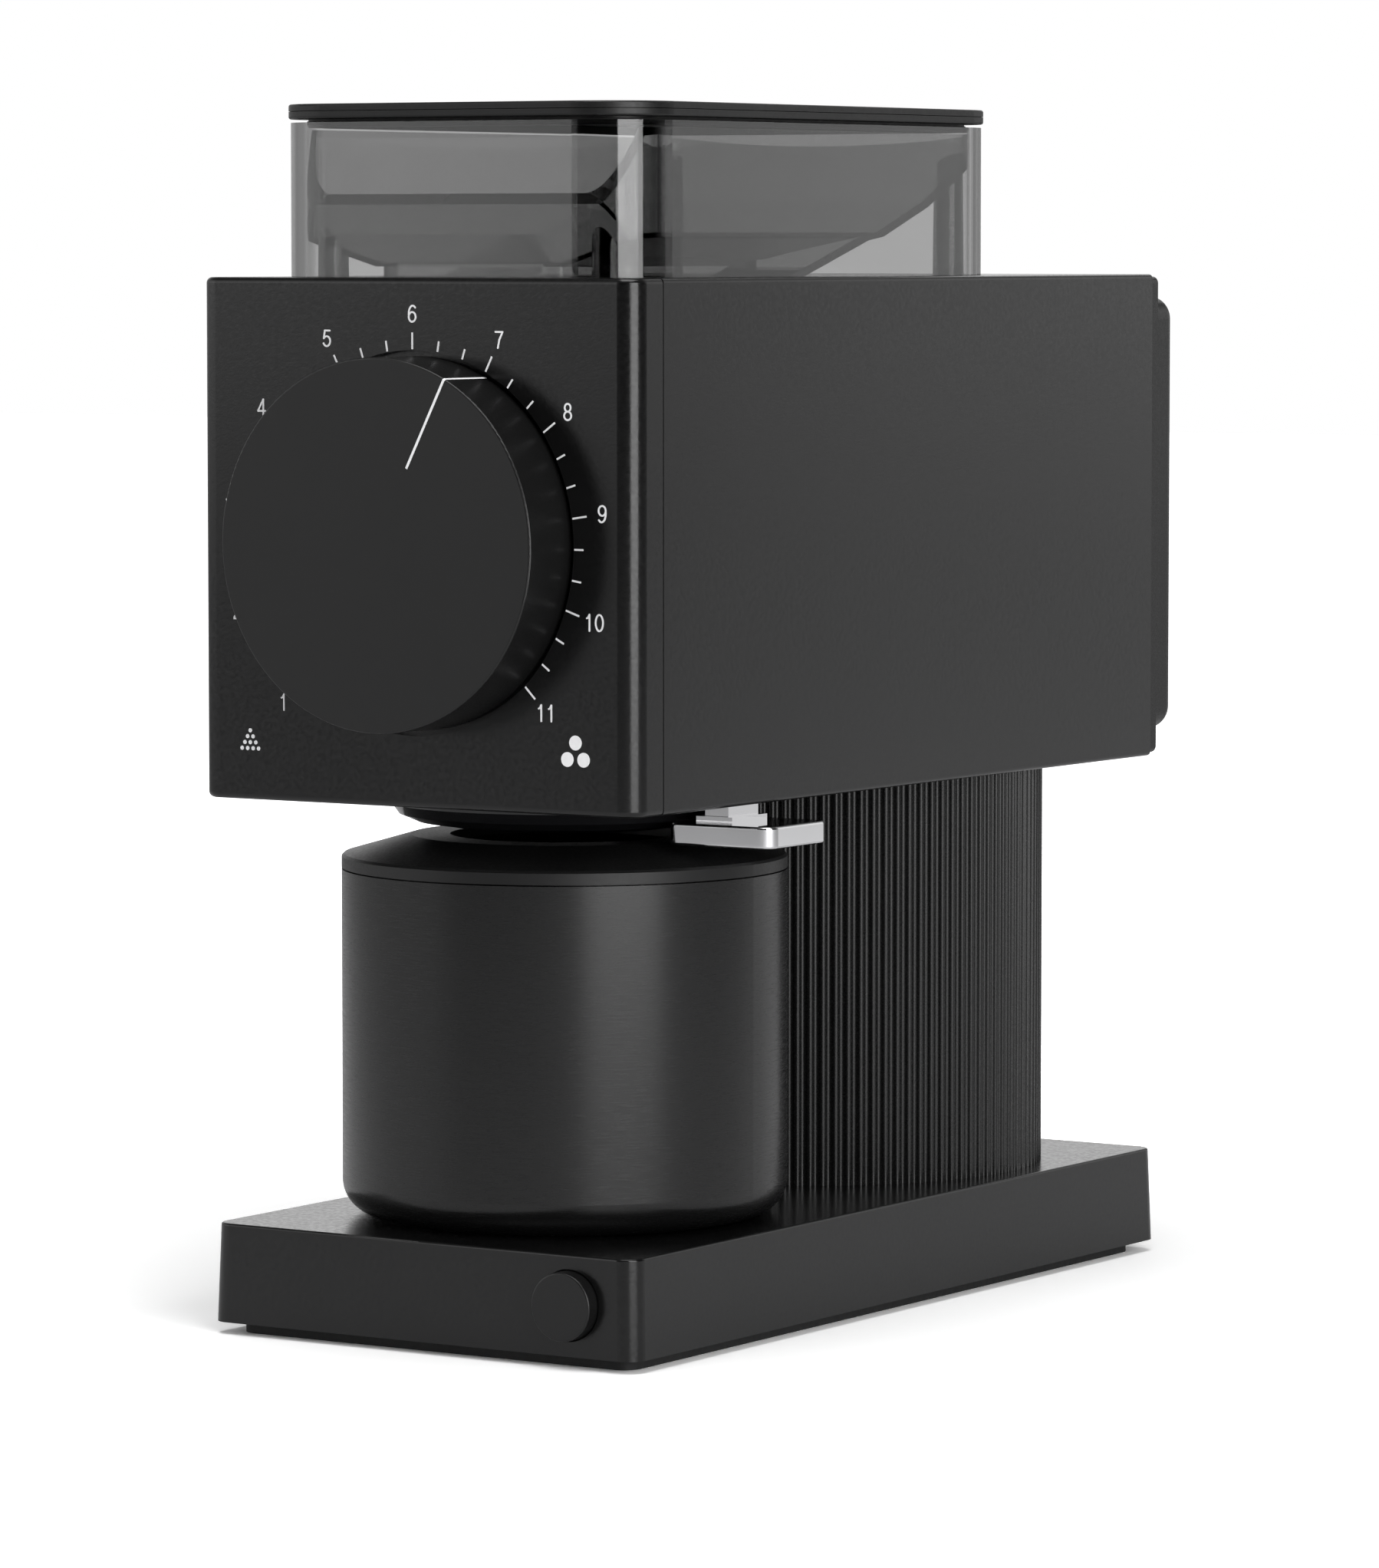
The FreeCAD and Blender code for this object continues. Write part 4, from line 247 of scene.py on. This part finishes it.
# Pieces that look a little different from the rest of their slot.
nodes["hopper_funnel"].data.materials[0] = deep_smoke
nodes["rear_cover"].data.materials[0] = cover
nodes["rear_plate"].data.materials[0] = cover

# ---- floor and studio ----------------------------------------------------------
FLOOR_HALF = 6.0
FLOOR_FADE = (0.17, 0.45)  # to the camera the paper turns pure white between these distances
PAPER_TONE = (0.70, 0.72)  # what the paper gives to the part
PAPER_SEEN = 1.4           # what the camera sees of it, so that only the shadow is not white
low, high = cad_box
middle = (low + high) / 2


def floor():
    mesh = bpy.data.meshes.new("floor")
    h = FLOOR_HALF
    corners = [(-h, -h, 0), (h, -h, 0), (h, h, 0), (-h, h, 0)]
    mesh.from_pydata(corners, [], [(0, 1, 2, 3)])
    made = bpy.data.objects.new("floor", mesh)
    bpy.context.scene.collection.objects.link(made)
    s = Shader("floor_paper")
    s.put(Roughness=0.9, Specular_IOR_Level=0.1)
    path = s.node("ShaderNodeLightPath")
    tone = s.noise(s.position(), scale=3.0, detail=2.0)
    seen = s.node("ShaderNodeMix", data_type="RGBA")
    s.link(path.outputs["Is Camera Ray"], seen.inputs["Factor"])
    s.link(s.colours(tone, grey(PAPER_TONE[0]), grey(PAPER_TONE[1])), seen.inputs["A"])
    seen.inputs["B"].default_value = (PAPER_SEEN, PAPER_SEEN, PAPER_SEEN, 1)
    s.link(seen.outputs["Result"], s.bsdf.inputs["Base Color"])
    away = s.node("ShaderNodeVectorMath", operation="LENGTH")
    s.link(s.position(), away.inputs[0])
    far = s.node("ShaderNodeMapRange")
    far.inputs["From Min"].default_value = FLOOR_FADE[0]
    far.inputs["From Max"].default_value = FLOOR_FADE[1]
    s.link(away.outputs["Value"], far.inputs["Value"])
    glow = s.node("ShaderNodeMath", operation="MULTIPLY")
    s.link(path.outputs["Is Camera Ray"], glow.inputs[0])
    s.link(far.outputs["Result"], glow.inputs[1])
    s.put(Emission_Color=(1, 1, 1, 1))
    s.link(glow.outputs["Value"], s.bsdf.inputs["Emission Strength"])
    made.data.materials.append(s.material)


def heading(azimuth, elevation):
    """Unit vector from the object towards that side; azimuth 0 is the front, 90 the right."""
    a = math.radians(azimuth)
    e = math.radians(elevation)
    return Vector((math.sin(a) * math.cos(e), -math.cos(a) * math.cos(e), math.sin(e)))


def softbox(name, azimuth, elevation, distance, width, height, power, aim=None):
    """Rectangular lamp that faces the middle of the part, or aim, and that the camera doesn't see."""
    data = bpy.data.lights.new(name, "AREA")
    data.shape = "RECTANGLE"
    data.size = width
    data.size_y = height
    data.energy = power
    made = bpy.data.objects.new(name, data)
    bpy.context.scene.collection.objects.link(made)
    target = aim if aim is not None else middle
    made.location = target + heading(azimuth, elevation) * distance
    made.rotation_euler = (target - made.location).to_track_quat("-Z", "Y").to_euler()
    made.visible_camera = False
    return made


# Brightness of the studio walls at the horizon, by azimuth in degrees.
WALLS = [
    (-180, 0.25), (-168, 0.35), (-153, 1.05), (-140, 1.15), (-126, 0.6), (-95, 0.5), (-75, 1.1), (-50, 1.8),
    (-36, 1.75), (-31, 0.95), (-26, 0.05), (-18, 0.0), (122, 0.0), (143, 0.32), (153, 0.8), (165, 0.6),
    (180, 0.25),
]
CEILING = 0.1
WALL_TOP = (0.25, 0.8)     # sines of the heights between which the walls fade into the ceiling


def studio():
    world = bpy.data.worlds.new("studio")
    bpy.context.scene.world = world
    world.use_nodes = True
    tree = world.node_tree
    tree.nodes.clear()
    coords = tree.nodes.new("ShaderNodeTexCoord")
    split = tree.nodes.new("ShaderNodeSeparateXYZ")
    tree.links.new(coords.outputs["Generated"], split.inputs["Vector"])
    back = tree.nodes.new("ShaderNodeMath")
    back.operation = "MULTIPLY"
    back.inputs[1].default_value = -1
    tree.links.new(split.outputs["Y"], back.inputs[0])
    angle = tree.nodes.new("ShaderNodeMath")
    angle.operation = "ARCTAN2"
    tree.links.new(split.outputs["X"], angle.inputs[0])
    tree.links.new(back.outputs["Value"], angle.inputs[1])
    turn = tree.nodes.new("ShaderNodeMapRange")
    turn.inputs["From Min"].default_value = -math.pi
    turn.inputs["From Max"].default_value = math.pi
    tree.links.new(angle.outputs["Value"], turn.inputs["Value"])
    walls = tree.nodes.new("ShaderNodeValToRGB")
    walls.color_ramp.interpolation = "LINEAR"
    stops = walls.color_ramp.elements
    for i, (azimuth, level) in enumerate(WALLS):
        at = (azimuth + 180) / 360
        stop = stops[i] if i < 2 else stops.new(at)
        stop.position = at
        stop.color = (level, level, level, 1)
    tree.links.new(turn.outputs["Result"], walls.inputs["Fac"])
    height = tree.nodes.new("ShaderNodeMapRange")
    height.interpolation_type = "SMOOTHSTEP"
    height.inputs["From Min"].default_value = WALL_TOP[0]
    height.inputs["From Max"].default_value = WALL_TOP[1]
    tree.links.new(split.outputs["Z"], height.inputs["Value"])
    ceiling = tree.nodes.new("ShaderNodeMix")
    ceiling.data_type = "RGBA"
    tree.links.new(height.outputs["Result"], ceiling.inputs["Factor"])
    tree.links.new(walls.outputs["Color"], ceiling.inputs["A"])
    ceiling.inputs["B"].default_value = (CEILING, CEILING, CEILING, 1)
    lit = tree.nodes.new("ShaderNodeBackground")
    tree.links.new(ceiling.outputs["Result"], lit.inputs["Color"])
    plain = tree.nodes.new("ShaderNodeBackground")
    plain.inputs["Color"].default_value = (1, 1, 1, 1)
    path = tree.nodes.new("ShaderNodeLightPath")
    mix = tree.nodes.new("ShaderNodeMixShader")
    tree.links.new(path.outputs["Is Camera Ray"], mix.inputs["Fac"])
    tree.links.new(lit.outputs["Background"], mix.inputs[1])
    tree.links.new(plain.outputs["Background"], mix.inputs[2])
    out = tree.nodes.new("ShaderNodeOutputWorld")
    tree.links.new(mix.outputs["Shader"], out.inputs["Surface"])


floor()
studio()
softbox("key_right_front", azimuth=62, elevation=12, distance=1.6, width=1.15, height=1.2, power=25)
softbox("overhead", azimuth=20, elevation=80, distance=1.5, width=1.2, height=1.2, power=17)
softbox("back_high", azimuth=-165, elevation=33, distance=1.6, width=0.8, height=0.5, power=1.3)
softbox("side_rear", azimuth=155, elevation=4, distance=0.75, width=0.45, height=0.7, power=0.36,
        aim=Vector((0.06, 0.1, 0.14)))

# ---- camera --------------------------------------------------------------------
CAMERA_AT = (0.8123, -1.2700, 0.2219)
CAMERA_AZIMUTH = 32.71
CAMERA_DOWN = 4.34
CAMERA_LENS = 164.56
SENSOR = 36.0


def camera():
    data = bpy.data.cameras.new("camera")
    data.lens = CAMERA_LENS
    data.sensor_width = SENSOR
    data.clip_start = 0.05
    data.clip_end = 50.0
    made = bpy.data.objects.new("camera", data)
    bpy.context.scene.collection.objects.link(made)
    made.location = CAMERA_AT
    made.rotation_euler = (math.radians(90 - CAMERA_DOWN), 0, math.radians(CAMERA_AZIMUTH))
    bpy.context.scene.camera = made


camera()
LIGHT_BOUNCES = 24         # enough for a ray through every clear wall of the hopper
bpy.context.scene.view_settings.view_transform = "Standard"
bpy.context.scene.cycles.max_bounces = LIGHT_BOUNCES
bpy.context.scene.cycles.transmission_bounces = LIGHT_BOUNCES
